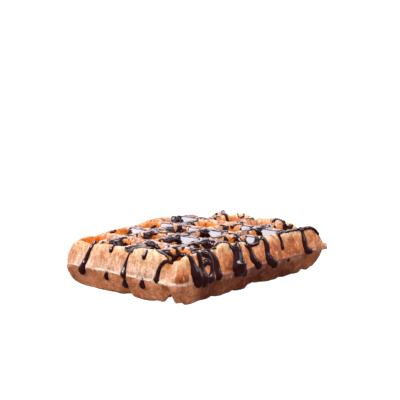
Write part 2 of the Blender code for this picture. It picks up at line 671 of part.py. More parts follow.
def drop_scraps(mesh):
    """Makes the faces triangles, and removes loose scraps and faces lying back to back."""
    bm = bmesh.new()
    bm.from_mesh(mesh)
    bmesh.ops.triangulate(bm, faces=bm.faces)
    by_corners = {}
    for face in bm.faces:
        by_corners.setdefault(frozenset(face.verts), []).append(face)
    back_to_back = [face for pair in by_corners.values() if len(pair) > 1 for face in pair]
    bmesh.ops.delete(bm, geom=back_to_back, context="FACES")
    for scrap in sorted(bodies(bm), key=len)[:-1]:
        bmesh.ops.delete(bm, geom=scrap, context="VERTS")
    bm.to_mesh(mesh)
    bm.free()


def lighten(obj):
    """Merges the smallest faces until the object holds a named number of triangles."""
    obj.data.calc_loop_triangles()
    lighter = obj.modifiers.new("Fewer faces", "DECIMATE")
    lighter.ratio = MOST_TRIANGLES / len(obj.data.loop_triangles)
    apply_modifiers(obj)


def level_underside(mesh):
    for vert in mesh.vertices:
        if vert.co.z < FLAT_WITHIN:
            vert.co.z = 0.0


def middle_of_footprint(mesh):
    """The flash is longest at one corner, so the body stands off its footprint's middle."""
    across = [vert.co.x for vert in mesh.vertices]
    along = [vert.co.y for vert in mesh.vertices]
    return Vector(((min(across) + max(across)) / 2, (min(along) + max(along)) / 2, 0.0))


def main():
    clear_scene()
    noise.seed_set(NOISE_SEED)
    waffle_parts = new_collection("Chocolate waffle")
    sauce_parts = new_collection("Sauce to fuse")
    crust_look = material("baked crust", (0.62, 0.30, 0.11), 0.7)
    sauce_look = material("chocolate sauce", (0.035, 0.013, 0.010), 0.15)
    waffle = add_crust(waffle_parts, crust_look)
    tree = BVHTree.FromObject(waffle, bpy.context.evaluated_depsgraph_get())
    add_flash_spike(sauce_parts, crust_look)
    add_side_drips("front_left_drip", FRONT_LEFT_DRIPS, "Y", tree, sauce_parts, sauce_look)
    add_side_drips("front_right_drip", FRONT_RIGHT_DRIPS, "X", tree, sauce_parts, sauce_look)
    add_top_strands(tree, sauce_parts, sauce_look)
    add_pools(sauce_parts, sauce_look)
    add_puddles(tree, sauce_parts, sauce_look)
    fuse(waffle, sauce_parts)
    drop_scraps(waffle.data)
    lighten(waffle)
    level_underside(waffle.data)
    waffle.location = -middle_of_footprint(waffle.data)
    waffle.data.shade_smooth()
    waffle.data.set_sharp_from_angle(angle=math.radians(40))


main()
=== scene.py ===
"""Looks of the chocolate waffle: a fine baked crust, glossy sauce over it, and a plain
studio round it. Metres, +Z up, in the frame that the model is packed in.
"""

import math
import random

import bmesh
import bpy
import numpy as np
from mathutils import Matrix, Vector, noise
from mathutils.bvhtree import BVHTree


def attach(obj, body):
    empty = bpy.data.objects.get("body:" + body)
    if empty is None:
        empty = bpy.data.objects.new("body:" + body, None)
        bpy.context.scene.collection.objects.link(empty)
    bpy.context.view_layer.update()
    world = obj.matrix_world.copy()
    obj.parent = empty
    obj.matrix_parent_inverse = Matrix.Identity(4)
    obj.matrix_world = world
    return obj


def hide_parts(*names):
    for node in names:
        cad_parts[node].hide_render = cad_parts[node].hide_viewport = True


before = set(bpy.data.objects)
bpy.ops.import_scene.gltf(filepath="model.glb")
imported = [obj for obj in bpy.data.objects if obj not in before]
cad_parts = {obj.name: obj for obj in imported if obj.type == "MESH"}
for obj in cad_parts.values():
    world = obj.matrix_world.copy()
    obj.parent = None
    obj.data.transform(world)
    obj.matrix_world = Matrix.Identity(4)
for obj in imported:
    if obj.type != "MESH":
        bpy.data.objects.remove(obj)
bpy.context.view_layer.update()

# The baked body, in its own frame: the middle of the grid at the seam's plan middle
LENGTH = 0.135
WIDTH = 0.108
HEIGHT = 0.0297
SEAM_HEIGHT = 0.0142
SIDE_DRAFT = 0.0048
POCKETS_LONG = 5
POCKETS_SHORT = 4
RIM = 0.0073
RIB = 0.0058
UPPER_POCKET_DEPTH = 0.0130
LOWER_POCKET_DEPTH = 0.0100
POCKET_DRAFT = 0.0022
POCKET_CORNER = 0.0026
FLASH_REACH = 0.0013
FLASH_HALF_THICKNESS = 0.0009
ROUNDING = 0.0005
EDGE_BAND = 0.0034
WAVE_DEPTH = 0.0110
UNEVENNESS = 0.00035
UNEVEN_SCALE = 90.0
SMALLEST_GAP = 0.0001
NOISE_SEED = 7
# The grid's middle stands off the middle of the footprint, where the frame's origin is
GRID_PLACE = Vector((-0.00064, 0.00177, 0.0))

# Each corner: plan radius, how far it stands out, how far its upper and lower half swell
CORNERS = {
    (-1, -1): (0.0080, 0.0008, 0.0003, 0.0003),
    (-1, 1): (0.0085, 0.0006, 0.0012, 0.0023),
    (1, -1): (0.0020, 0.0036, 0.0022, 0.0),
    (1, 1): (0.0070, 0.0, 0.0006, 0.0006),
}
CORNER_REACH = 0.0070

# Along each side: place, half width, rise of the top edge and of the base edge, groove
FRONT_LEFT_EDGE = (
    (0.0300, 0.0090, -0.0020, 0.0000, 0.0006),
    (0.0450, 0.0070, -0.0012, 0.0010, 0.0000),
    (0.0060, 0.0060, 0.0000, 0.0006, -0.0004),
    (-0.0045, 0.0035, -0.0024, 0.0022, 0.0012),
    (-0.0230, 0.0110, 0.0024, 0.0000, -0.0008),
    (-0.0310, 0.0060, 0.0000, 0.0016, 0.0000),
    (-0.0420, 0.0030, -0.0056, 0.0000, 0.0014),
    (-0.0402, 0.0034, 0.0000, 0.0070, 0.0003),
    (-0.0505, 0.0050, -0.0016, 0.0018, -0.0008),
)
FRONT_RIGHT_EDGE = (
    (-0.0610, 0.0050, -0.0012, 0.0014, -0.0006),
    (-0.0430, 0.0080, 0.0000, 0.0008, 0.0000),
    (-0.0340, 0.0030, -0.0006, 0.0010, 0.0010),
    (-0.0225, 0.0055, 0.0022, 0.0008, -0.0008),
    (-0.0150, 0.0030, 0.0000, 0.0008, 0.0012),
    (-0.0005, 0.0030, -0.0010, 0.0012, 0.0012),
    (0.0065, 0.0050, -0.0036, 0.0040, -0.0006),
    (0.0145, 0.0026, 0.0004, 0.0006, 0.0012),
    (0.0215, 0.0050, -0.0006, 0.0006, -0.0006),
    (0.0295, 0.0030, 0.0002, 0.0008, 0.0008),
    (0.0400, 0.0080, -0.0004, 0.0008, -0.0006),
    (0.0530, 0.0030, -0.0004, 0.0020, 0.0010),
    (0.0620, 0.0040, -0.0004, 0.0022, 0.0000),
)
BACK_LEFT_EDGE = (
    (-0.0580, 0.0060, -0.0022, 0.0010, 0.0000),
    (-0.0430, 0.0060, -0.0018, 0.0000, 0.0000),
    (-0.0350, 0.0030, -0.0006, 0.0006, 0.0010),
    (-0.0100, 0.0030, -0.0004, 0.0010, 0.0012),
    (0.0120, 0.0110, 0.0019, 0.0004, -0.0006),
    (0.0300, 0.0030, 0.0000, 0.0014, 0.0012),
    (0.0450, 0.0060, -0.0006, 0.0006, -0.0004),
)
BACK_RIGHT_EDGE = (
    (0.0310, 0.0060, 0.0014, 0.0006, -0.0006),
    (0.0225, 0.0026, -0.0008, 0.0014, 0.0012),
    (0.0105, 0.0065, 0.0019, 0.0004, -0.0006),
    (-0.0006, 0.0026, -0.0006, 0.0020, 0.0014),
    (-0.0180, 0.0080, 0.0014, 0.0004, -0.0006),
    (-0.0395, 0.0048, -0.0028, 0.0016, 0.0012),
)
# A corner that the batter hardly reached: plan place, radius, drop
SHORT_FILLED_CORNER = (0.0615, 0.0475, 0.0078, 0.0075)
FLASH_SPIKE = (0.06514, -0.05234, 0.0157, 0.0090, 0.0064, 0.0072)
SPIKE_LONGER = 0.0018
# Where the spike takes the seam lip's colour, with its painted highlight, and where it is full, as x -
# y
SPIKE_REACH = (0.1215, 0.1245)

# Sauce on the sides, as (along the side, height, half width) from the top down
FRONT_LEFT_DRIPS = (
    ((0.0275, 0.0296, 0.0013), (0.0302, 0.0235, 0.0016), (0.0315, 0.0184, 0.0019),
     (0.0330, 0.0145, 0.0025), (0.0350, 0.0110, 0.0032)),
    ((-0.0105, 0.0296, 0.0014), (-0.0068, 0.0262, 0.0013), (-0.0053, 0.0214, 0.0017),
     (-0.0050, 0.0172, 0.0022), (-0.0052, 0.0144, 0.0029)),
    ((-0.0415, 0.0262, 0.0012), (-0.0378, 0.0262, 0.0014), (-0.0353, 0.0214, 0.0014),
     (-0.0347, 0.0173, 0.0018), (-0.0343, 0.0154, 0.0028)),
    ((0.0074, 0.0298, 0.0012), (0.0089, 0.0270, 0.0019)),
    ((-0.0238, 0.0312, 0.0010), (-0.0222, 0.0272, 0.0023)),
    ((0.0105, 0.0135, 0.0012), (0.0115, 0.0099, 0.0025)),
    ((-0.0049, 0.0122, 0.0008), (-0.0034, 0.0072, 0.0029)),
    ((-0.0223, 0.0137, 0.0016), (-0.0219, 0.0103, 0.0031)),
)
FRONT_RIGHT_DRIPS = (
    ((-0.0540, 0.0298, 0.0013), (-0.0525, 0.0260, 0.0022), (-0.0521, 0.0213, 0.0034),
     (-0.0510, 0.0166, 0.0044), (-0.0500, 0.0135, 0.0038)),
    ((-0.0456, 0.0294, 0.0018), (-0.0457, 0.0231, 0.0022), (-0.0463, 0.0188, 0.0026),
     (-0.0455, 0.0150, 0.0041), (-0.0446, 0.0112, 0.0024)),
    ((-0.0425, 0.0290, 0.0018), (-0.0380, 0.0270, 0.0020), (-0.0363, 0.0233, 0.0020),
     (-0.0383, 0.0165, 0.0022), (-0.0400, 0.0140, 0.0034)),
    ((-0.0360, 0.0296, 0.0014), (-0.0323, 0.0239, 0.0020), (-0.0327, 0.0176, 0.0025),
     (-0.0327, 0.0138, 0.0031)),
    ((-0.0440, 0.0224, 0.0020), (-0.0412, 0.0238, 0.0022), (-0.0385, 0.0230, 0.0019)),
    ((-0.0195, 0.0299, 0.0012), (-0.0160, 0.0272, 0.0017), (-0.0145, 0.0246, 0.0022)),
    ((-0.0105, 0.0299, 0.0014), (-0.0118, 0.0262, 0.0034), (-0.0131, 0.0206, 0.0044),
     (-0.0142, 0.0172, 0.0060), (-0.0142, 0.0156, 0.0070)),
    ((-0.0112, 0.0145, 0.0036), (-0.0083, 0.0108, 0.0019)),
    ((-0.0016, 0.0296, 0.0014), (0.0006, 0.0222, 0.0021), (0.0009, 0.0175, 0.0025),
     (0.0044, 0.0138, 0.0031)),
    ((0.0136, 0.0294, 0.0014), (0.0156, 0.0250, 0.0020), (0.0145, 0.0192, 0.0025),
     (0.0148, 0.0158, 0.0032), (0.0198, 0.0120, 0.0028)),
    ((0.0283, 0.0300, 0.0011), (0.0303, 0.0256, 0.0013), (0.0297, 0.0203, 0.0020)),
    ((0.0524, 0.0292, 0.0020), (0.0527, 0.0246, 0.0024), (0.0519, 0.0184, 0.0028),
     (0.0530, 0.0154, 0.0032), (0.0566, 0.0138, 0.0024)),
    ((0.0334, 0.0126, 0.0014), (0.0336, 0.0120, 0.0014)),
)
DRIP_FLATNESS = 0.60
# How much a strand's width varies, and how fast along it
WIDTH_CHANGE = 0.28
WIDTH_SCALE = 170.0
# How far a side of the crust may stand before or behind its plain drafted face
FACE_RANGE = 0.0024

# Sauce over the top, as plan points that a strand runs through, and its half width
TOP_STRANDS = (
    (0.0013, (-0.0606, -0.0016), (-0.0554, -0.0023), (-0.0488, -0.0033), (-0.0440, -0.0036)),
    (0.0013, (-0.0608, -0.0022), (-0.0614, -0.0076), (-0.0616, -0.0166), (-0.0616, -0.0226),
     (-0.0614, -0.0262)),
    (0.0012, (-0.0508, -0.0015), (-0.0470, 0.0012), (-0.0416, 0.0030), (-0.0394, 0.0018),
     (-0.0395, -0.0030), (-0.0408, -0.0072), (-0.0414, -0.0115)),
    (0.0010, (-0.0335, -0.0030), (-0.0300, -0.0008), (-0.0268, -0.0020), (-0.0245, -0.0040)),
    (0.0010, (-0.0105, 0.0240), (-0.0114, 0.0211), (-0.0133, 0.0181)),
    (0.0013, (-0.0405, -0.0310), (-0.0350, -0.0280), (-0.0300, -0.0266), (-0.0262, -0.0274),
     (-0.0240, -0.0282)),
    (0.0012, (-0.0300, -0.0482), (-0.0355, -0.0450), (-0.0392, -0.0425), (-0.0402, -0.0386)),
    (0.0011, (-0.0165, 0.0450), (-0.0153, 0.0422), (-0.0142, 0.0395)),
    (0.0011, (0.0285, 0.0480), (0.0320, 0.0468), (0.0350, 0.0445)),
    (0.0012, (0.0205, 0.0255), (0.0217, 0.0224), (0.0246, 0.0205)),
    (0.0011, (-0.0006, 0.0258), (0.0000, 0.0240), (0.0008, 0.0224)),
    (0.0012, (-0.0172, -0.0325), (-0.0155, -0.0361), (-0.0119, -0.0375), (-0.0105, -0.0400)),
    (0.0018, (0.0630, 0.0310), (0.0600, 0.0281), (0.0574, 0.0240), (0.0565, 0.0212)),
    (0.0013, (0.0600, 0.0345), (0.0535, 0.0292), (0.0473, 0.0244), (0.0449, 0.0220)),
    (0.0009, (0.0620, 0.0160), (0.0598, 0.0130), (0.0600, 0.0083)),
    (0.0011, (0.0474, 0.0014), (0.0464, -0.0014), (0.0438, -0.0030)),
    (0.0016, (0.0400, -0.0262), (0.0470, -0.0235), (0.0540, -0.0208), (0.0600, -0.0188),
     (0.0614, -0.0222), (0.0606, -0.0268), (0.0588, -0.0300)),
    (0.0010, (0.0505, -0.0222), (0.0496, -0.0256), (0.0505, -0.0292)),
    (0.0010, (0.0300, -0.0262), (0.0335, -0.0280), (0.0352, -0.0305)),
    (0.0010, (0.0055, -0.0462), (0.0075, -0.0482), (0.0116, -0.0484), (0.0150, -0.0484)),
    (0.0014, (0.0300, -0.0484), (0.0340, -0.0478), (0.0370, -0.0487), (0.0420, -0.0484),
     (0.0476, -0.0488), (0.0526, -0.0487), (0.0560, -0.0490), (0.0608, -0.0500),
     (0.0640, -0.0511), (0.0654, -0.0524)),
    (0.0010, (0.0268, -0.0004), (0.0282, -0.0028), (0.0296, -0.0052)),
    (0.0010, (-0.0130, -0.0262), (-0.0158, -0.0300), (-0.0180, -0.0282), (-0.0168, -0.0255)),
    (0.0011, (-0.0085, -0.0250), (-0.0046, -0.0262), (0.0001, -0.0260), (0.0026, -0.0282)),
    (0.0010, (0.0220, -0.0255), (0.0280, -0.0245), (0.0315, -0.0275)),
    (0.0010, (0.0335, -0.0030), (0.0358, -0.0060), (0.0370, -0.0110)),
    (0.0011, (-0.0612, -0.0296), (-0.0616, -0.0331), (-0.0616, -0.0363), (-0.0608, -0.0388)),
    (0.0010, (-0.0225, -0.0010), (-0.0190, -0.0030), (-0.0150, -0.0045), (-0.0130, -0.0085)),
    (0.0013, (-0.0220, -0.0478), (-0.0180, -0.0486), (-0.0143, -0.0487), (-0.0115, -0.0486)),
    (0.0011, (-0.0455, 0.0223), (-0.0415, 0.0236), (-0.0400, 0.0205)),
    (0.0010, (-0.0540, 0.0215), (-0.0498, 0.0226), (-0.0453, 0.0219)),
    (0.0010, (-0.0615, 0.0205), (-0.0600, 0.0222), (-0.0575, 0.0232)),
    (0.0011, (0.0055, -0.0005), (0.0095, -0.0040), (0.0110, -0.0090), (0.0128, -0.0135)),
    (0.0011, (0.0085, -0.0235), (0.0108, -0.0280), (0.0112, -0.0325), (0.0135, -0.0360)),
    (0.0010, (0.0105, 0.0215), (0.0108, 0.0170), (0.0118, 0.0130)),
    (0.0010, (-0.0140, 0.0160), (-0.0142, 0.0120), (-0.0120, 0.0075)),
    (0.0010, (-0.0075, -0.0035), (-0.0035, -0.0010), (0.0000, -0.0018), (0.0018, 0.0010)),
    (0.0010, (-0.0385, -0.0150), (-0.0370, -0.0190), (-0.0385, -0.0235), (-0.0360, -0.0262)),
    (0.0010, (0.0370, -0.0200), (0.0385, -0.0235), (0.0365, -0.0275), (0.0385, -0.0320)),
    (0.0010, (0.0600, 0.0000), (0.0560, -0.0010), (0.0530, 0.0012)),
)
# Fine threads of sauce strewn over the front and the middle: how many, and their half widths
THREADS = 52
THREAD_WIDTHS = (0.0005, 0.0008)
THREAD_TURN = 0.80
THREAD_SEED = 31
THREADS_END = 0.047
STRAND_SUNK = 0.08
STRAND_TALLNESS = 0.72
STRAND_STEP = 0.0015

# Pockets that sauce fills, by their place along X and Y, and the depth left over it
FILLED_POCKETS = {
    (0, 0): 0.0080, (1, 0): 0.0068, (2, 0): 0.0074, (3, 0): 0.0070, (0, 1): 0.0060,
    (1, 1): 0.0040, (2, 1): 0.0072, (0, 2): 0.0075, (1, 2): 0.0070, (2, 2): 0.0066,
    (3, 3): 0.0058,
}
POOL_ROOT = 0.0015

# Sauce leaning on pocket walls: the wall's pocket along X (or Y), and its two ends
WALL_RUNS_ALONG_Y = (
    (1, 0.0300, 0.0448), (2, 0.0282, 0.0400), (3, 0.0287, 0.0450), (1, -0.0212, -0.0045),
    (2, 0.0036, 0.0135), (2, -0.0172, -0.0055), (3, -0.0200, -0.0125), (2, -0.0462, -0.0385),
    (3, -0.0440, -0.0305), (0, -0.0190, -0.0150),
)
WALL_RUNS_ALONG_X = (
    (2, -0.0530, -0.0430), (1, -0.0300, -0.0258), (2, -0.0030, 0.0040), (3, 0.0262, 0.0345),
)
RUN_DEPTH = 0.0048
RUN_REACH = 0.0025
RUN_ROOF = 0.0015
RUN_PROUD = 0.0004
RUN_SLICE = 0.0012
RUN_RAGGED = 0.7
RUN_RAGGED_SCALE = 420.0
# Flat puddles on the ribs: plan middle, half lengths
PUDDLES = (
    (-0.0310, 0.0252, 0.0050, 0.0022), (0.0000, 0.0252, 0.0036, 0.0020),
    (0.0235, 0.0250, 0.0060, 0.0022), (-0.0300, -0.0244, 0.0080, 0.0024),
    (-0.0035, 0.0002, 0.0040, 0.0020), (0.0240, -0.0246, 0.0045, 0.0022),
    (0.0030, -0.0481, 0.0085, 0.0019),
    (-0.0126, 0.0400, 0.0024, 0.0050), (0.0126, 0.0360, 0.0024, 0.0050),
    (0.0378, 0.0390, 0.0024, 0.0060), (-0.0126, -0.0110, 0.0024, 0.0060),
    (0.0126, -0.0150, 0.0022, 0.0045), (0.0378, -0.0390, 0.0022, 0.0060),
)
PUDDLE_RAGGED = 0.22
PUDDLE_PROUD = 0.0006
PUDDLE_BELOW = 0.0016
PUDDLE_SAG = 0.0006
PUDDLE_SIDES = 40

# Sheets of sauce over pocket walls and the ribs beside them: ends along X, ends along Y
SHEETS = (
    (-0.0470, -0.0385, -0.0480, -0.0260), (-0.0255, -0.0150, -0.0065, -0.0015),
    (-0.0610, -0.0400, -0.0315, -0.0245), (-0.0330, -0.0150, -0.0315, -0.0262),
    (-0.0240, -0.0175, 0.0190, 0.0235), (-0.0005, 0.0110, 0.0150, 0.0235),
    (0.0270, 0.0352, 0.0420, 0.0480), (0.0035, 0.0110, -0.0385, -0.0265),
    (0.0040, 0.0110, -0.0070, -0.0015), (0.0300, 0.0360, -0.0320, -0.0265),
    (-0.0225, -0.0145, -0.0345, -0.0265), (0.0160, 0.0230, 0.0195, 0.0230),
    (0.0260, 0.0300, -0.0045, -0.0015), (-0.0420, -0.0390, -0.0075, -0.0035),
    (0.0415, 0.0450, -0.0050, -0.0010), (-0.0530, -0.0440, 0.0200, 0.0235),
)
SHEET_THICKNESS = 0.0007
SHEET_EDGE = 0.0022
SHEET_COVER = 0.45
# Thin, broken sauce: plan place, radius and how much of it there is
FILM_AREAS = (
    (-0.0470, -0.0370, 0.014, 0.7), (-0.0150, -0.0370, 0.018, 0.8), (0.0120, -0.0350, 0.018, 0.8),
    (0.0380, -0.0400, 0.012, 0.6), (-0.0400, -0.0080, 0.012, 0.3), (-0.0120, -0.0080, 0.018, 0.7),
    (0.0150, -0.0050, 0.016, 0.6), (0.0400, -0.0150, 0.010, 0.5), (-0.0380, 0.0150, 0.008, 0.4),
    (-0.0100, 0.0200, 0.014, 0.6), (0.0180, 0.0200, 0.012, 0.5), (0.0350, 0.0200, 0.008, 0.4),
    (0.0300, 0.0440, 0.010, 0.6),
)
FILM_THICKNESS = 0.0006
FILM_SCALE = 260.0
FILM_STRETCH = Matrix(((0.70, -0.30, 0.0), (-0.30, 0.70, 0.0), (0.0, 0.0, 1.0)))
FILM_DEEPEST = -0.0007

# How far past the front corner the lower half stays pale: painted light on the lower front corner
PALE_CORNER = 0.011
# Spots that browned more, or less, and spots of painted shade and painted light: place, radius, how
# much
BROWNING_LIGHT_SHADE_SPOTS = (
    # The strong first spot, at the front corner above the seam, is painted shade; the last, low on
    # that corner, is painted light
    (-0.0633, -0.0532, 0.0170, 0.0058, 1.5), (-0.0599, -0.0509, 0.0260, 0.0060, -0.30),
    (-0.0652, 0.0429, 0.0217, 0.0024, 0.90), (-0.0637, 0.0165, 0.0235, 0.0055, 0.60),
    (-0.0635, -0.0012, 0.0250, 0.0050, 0.60), (-0.0643, -0.0134, 0.0250, 0.0030, 0.25),
    (-0.0224, -0.0500, 0.0275, 0.0050, -0.30), (0.0075, -0.0507, 0.0255, 0.0040, -0.45),
    (-0.0215, -0.0515, 0.0185, 0.0065, 0.75), (0.0380, -0.0505, 0.0240, 0.0080, 0.35),
    (0.0470, -0.0517, 0.0060, 0.0060, -0.35), (0.0600, -0.0517, 0.0080, 0.0095, -0.75),
    (-0.0610, -0.0530, 0.0060, 0.0070, -0.35),
)
# Pocket walls near the rim where the pockets' painted shade and glow is weaker, or stronger: place,
# radius, how much
WALL_TINTS = (
    (0.0590, -0.0040, 0.0275, 0.0065, -0.9), (0.0594, -0.0330, 0.0270, 0.0050, -0.9),
    (0.0066, 0.0478, 0.0275, 0.0060, 0.7), (-0.0250, 0.0478, 0.0262, 0.0090, 0.8),
)
# How far the sauce's own surface heaves, and how fast
SAUCE_HEAVE = 0.0003
SAUCE_HEAVE_SCALE = 330.0
BROAD_HEAVE = 0.0005
BROAD_HEAVE_SCALE = 85.0
# Height of the crumbly lumps on the ribs
RIB_LUMPS = 0.0008
VOXEL = 0.0004
CRUST_LEVELS = 2
MOST_TRIANGLES = 190000

# The camera of the photo, from its fitted view of the seam and the rim
CAMERA_PLACE = Vector((-0.4968, -0.4888, 0.1678)) + GRID_PLACE
CAMERA_RIGHT = Vector((0.6927, -0.7208, -0.0250))
CAMERA_UP = Vector((0.1365, 0.0970, 0.9859))
CAMERA_LENS = 97.36
SENSOR_WIDTH = 36.0

FLOOR_HALF = 3.5
FLOOR_DROP = 0.0001
# Studio light by direction: colours from straight down (0) over level (0.5) to straight up (1)
WORLD_FRONT = (
    (0.0, (0.03, 0.028, 0.027)), (0.49, (0.04, 0.037, 0.035)), (0.55, (0.05, 0.048, 0.048)),
    (0.72, (0.08, 0.08, 0.08)), (1.0, (0.20, 0.20, 0.20)),
)
WORLD_BACK = (
    (0.0, (0.03, 0.03, 0.03)), (0.46, (0.08, 0.08, 0.09)), (0.51, (0.92, 0.88, 1.0)),
    (0.63, (0.90, 0.86, 1.0)), (0.70, (0.20, 0.19, 0.22)), (1.0, (0.12, 0.12, 0.12)),
)
WORLD_BACK_DIRECTION = (0.66, 0.75, 0.0)
WORLD_STRENGTH = 1.6
# Soft lights: name, place, size, power, colour, whether they show as reflections
LIGHTS_AIM = Vector((0.0, 0.0, 0.02))
SOFT_LIGHTS = (
    ("key", (-0.54, 0.54, 0.44), (0.42, 0.24), 5.4, (0.92, 0.90, 1.0), True),
    ("side", (0.54, -0.54, 0.37), (0.30, 0.16), 0.3, (0.94, 0.92, 1.0), True),
    ("spark", (0.42, -0.42, 0.60), (0.26, 0.26), 2.2, (0.94, 0.93, 1.0), True),
    ("sheen", (-0.62, 0.30, 0.68), (0.30, 0.30), 0.8, (0.90, 0.88, 1.0), True),
    ("left", (-0.62, 0.30, 0.60), (0.30, 0.30), 2.6, (0.96, 0.97, 1.0), False),
    ("back", (0.45, 0.45, 0.44), (0.60, 0.34), 2.2, (0.90, 0.88, 1.0), True),
    ("top", (-0.15, -0.25, 0.85), (0.35, 0.35), 3.4, (1.0, 0.97, 0.93), False),
    ("fill", (0.10, -0.66, 0.46), (0.18, 0.18), 1.2, (1.0, 0.97, 0.97), False),
    ("front", (-0.62, -0.62, 0.15), (0.50, 0.26), 4.2, (1.0, 0.97, 0.95), False),
)


def pocket_spans(side, count):
    pitch = (side - 2 * RIM + RIB) / count
    starts = [RIM - side / 2 + place * pitch for place in range(count)]
    return [(start, start + pitch - RIB) for start in starts]


SPANS_LONG = pocket_spans(LENGTH, POCKETS_LONG)
SPANS_SHORT = pocket_spans(WIDTH, POCKETS_SHORT)


def smooth_step(low, high, value):
    share = min(max((value - low) / (high - low), 0.0), 1.0)
    return share * share * (3 - 2 * share)


def side_inset(height):
    if height >= SEAM_HEIGHT:
        return SIDE_DRAFT * (height - SEAM_HEIGHT) / (HEIGHT - SEAM_HEIGHT)
    return SIDE_DRAFT * (SEAM_HEIGHT - height) / SEAM_HEIGHT


def add_object(name, mesh):
    obj = bpy.data.objects.new(name, mesh)
    bpy.context.scene.collection.objects.link(obj)
    return obj


def mesh_from(bm, name):
    mesh = bpy.data.meshes.new(name)
    bm.to_mesh(mesh)
    bm.free()
    return mesh


def joined(meshes, name):
    bm = bmesh.new()
    for mesh in meshes:
        bm.from_mesh(mesh)
    return mesh_from(bm, name)


def evaluated_mesh(obj):
    graph = bpy.context.evaluated_depsgraph_get()
    return bpy.data.meshes.new_from_object(obj.evaluated_get(graph), depsgraph=graph)


def apply_modifiers(obj):
    mesh = evaluated_mesh(obj)
    obj.modifiers.clear()
    obj.data = mesh


# The crust's cage


def cut_cage(bm):
    places_long = set()
    places_short = set()
    for spans, places in ((SPANS_LONG, places_long), (SPANS_SHORT, places_short)):
        for start, end in spans:
            middle = (start + end) / 2
            places.update((start, start + POCKET_CORNER, middle, end - POCKET_CORNER, end))
    cuts = [((place, 0, 0), (1, 0, 0)) for place in sorted(places_long)]
    cuts += [((0, place, 0), (0, 1, 0)) for place in sorted(places_short)]
    heights = (
        EDGE_BAND, SEAM_HEIGHT - FLASH_HALF_THICKNESS, SEAM_HEIGHT,
        SEAM_HEIGHT + FLASH_HALF_THICKNESS, HEIGHT - EDGE_BAND,
    )
    cuts += [((0, 0, height), (0, 0, 1)) for height in heights]
    for point, normal in cuts:
        everything = bm.verts[:] + bm.edges[:] + bm.faces[:]
        bmesh.ops.bisect_plane(bm, geom=everything, plane_co=point, plane_no=normal, dist=1e-6)


def draft_sides(bm):
    for vert in bm.verts:
        at_seam = abs(vert.co.z - SEAM_HEIGHT) < SMALLEST_GAP
        inset = -FLASH_REACH if at_seam else side_inset(min(max(vert.co.z, 0.0), HEIGHT))
        if abs(abs(vert.co.x) - LENGTH / 2) < SMALLEST_GAP:
            vert.co.x -= math.copysign(inset, vert.co.x)
        if abs(abs(vert.co.y) - WIDTH / 2) < SMALLEST_GAP:
            vert.co.y -= math.copysign(inset, vert.co.y)


def in_pocket(centre):
    across = any(start < centre.x < end for start, end in SPANS_LONG)
    return across and any(start < centre.y < end for start, end in SPANS_SHORT)


def pocket_middle(x, y):
    across = min(SPANS_LONG, key=lambda span: abs(sum(span) / 2 - x))
    along = min(SPANS_SHORT, key=lambda span: abs(sum(span) / 2 - y))
    return sum(across) / 2, sum(along) / 2


def sink_pockets(bm, facing, depth):
    steps = ((0.24, 0.30), (0.58, 0.45), (0.18, 0.25))
    half = (SPANS_LONG[0][1] - SPANS_LONG[0][0]) / 2
    faces = [
        face for face in bm.faces
        if face.normal.z * facing > 0.9 and in_pocket(face.calc_center_median())
    ]
    for share_of_depth, share_of_draft in steps:
        made = bmesh.ops.extrude_face_region(bm, geom=faces)["geom"]
        bmesh.ops.delete(bm, geom=faces, context="FACES")
        faces = [item for item in made if isinstance(item, bmesh.types.BMFace)]
        for vert in [item for item in made if isinstance(item, bmesh.types.BMVert)]:
            x, y = pocket_middle(vert.co.x, vert.co.y)
            narrower = 1 - POCKET_DRAFT * share_of_draft / half
            vert.co.x = x + (vert.co.x - x) * narrower
            vert.co.y = y + (vert.co.y - y) * narrower
            vert.co.z -= facing * depth * share_of_depth


def crust_cage():
    bm = bmesh.new()
    bmesh.ops.create_cube(bm, size=1.0)
    tall = HEIGHT + 2 * ROUNDING
    bmesh.ops.scale(bm, vec=(LENGTH, WIDTH, tall), verts=bm.verts)
    bmesh.ops.translate(bm, vec=(0, 0, HEIGHT / 2), verts=bm.verts)
    cut_cage(bm)
    draft_sides(bm)
    bm.normal_update()
    sink_pockets(bm, 1, UPPER_POCKET_DEPTH)
    sink_pockets(bm, -1, LOWER_POCKET_DEPTH)
    bmesh.ops.recalc_face_normals(bm, faces=bm.faces)
    return mesh_from(bm, "crust_cage")


# How the batter filled the iron


def rounded_corner(point):
    signs = (-1 if point.x < 0 else 1, -1 if point.y < 0 else 1)
    radius, push, upper_swell, lower_swell = CORNERS[signs]
    across = abs(point.x) - (LENGTH / 2 - radius)
    along = abs(point.y) - (WIDTH / 2 - radius)
    bent = point.copy()
    if across > 0 and along > 0:
        shrink = max(across, along) / math.hypot(across, along)
        bent.x = signs[0] * (LENGTH / 2 - radius + across * shrink)
        bent.y = signs[1] * (WIDTH / 2 - radius + along * shrink)
    away = math.hypot(abs(point.x) - LENGTH / 2, abs(point.y) - WIDTH / 2)
    if point.z > SEAM_HEIGHT:
        share = min((point.z - SEAM_HEIGHT) / (HEIGHT - SEAM_HEIGHT), 1.0)
        push += upper_swell * 4 * share * (1 - share)
    else:
        share = min((SEAM_HEIGHT - point.z) / SEAM_HEIGHT, 1.0)
        push += lower_swell * 4 * share * (1 - share)
    outward = push * math.exp(-((away / CORNER_REACH) ** 2)) * math.sqrt(0.5)
    return bent + Vector((signs[0] * outward, signs[1] * outward, 0.0))


def edge_change(rows, place):
    total = [0.0, 0.0, 0.0]
    for middle, half_width, top_rise, base_rise, groove in rows:
        weight = math.exp(-(((place - middle) / half_width) ** 2))
        for index, amount in enumerate((top_rise, base_rise, groove)):
            total[index] += weight * amount
    return total


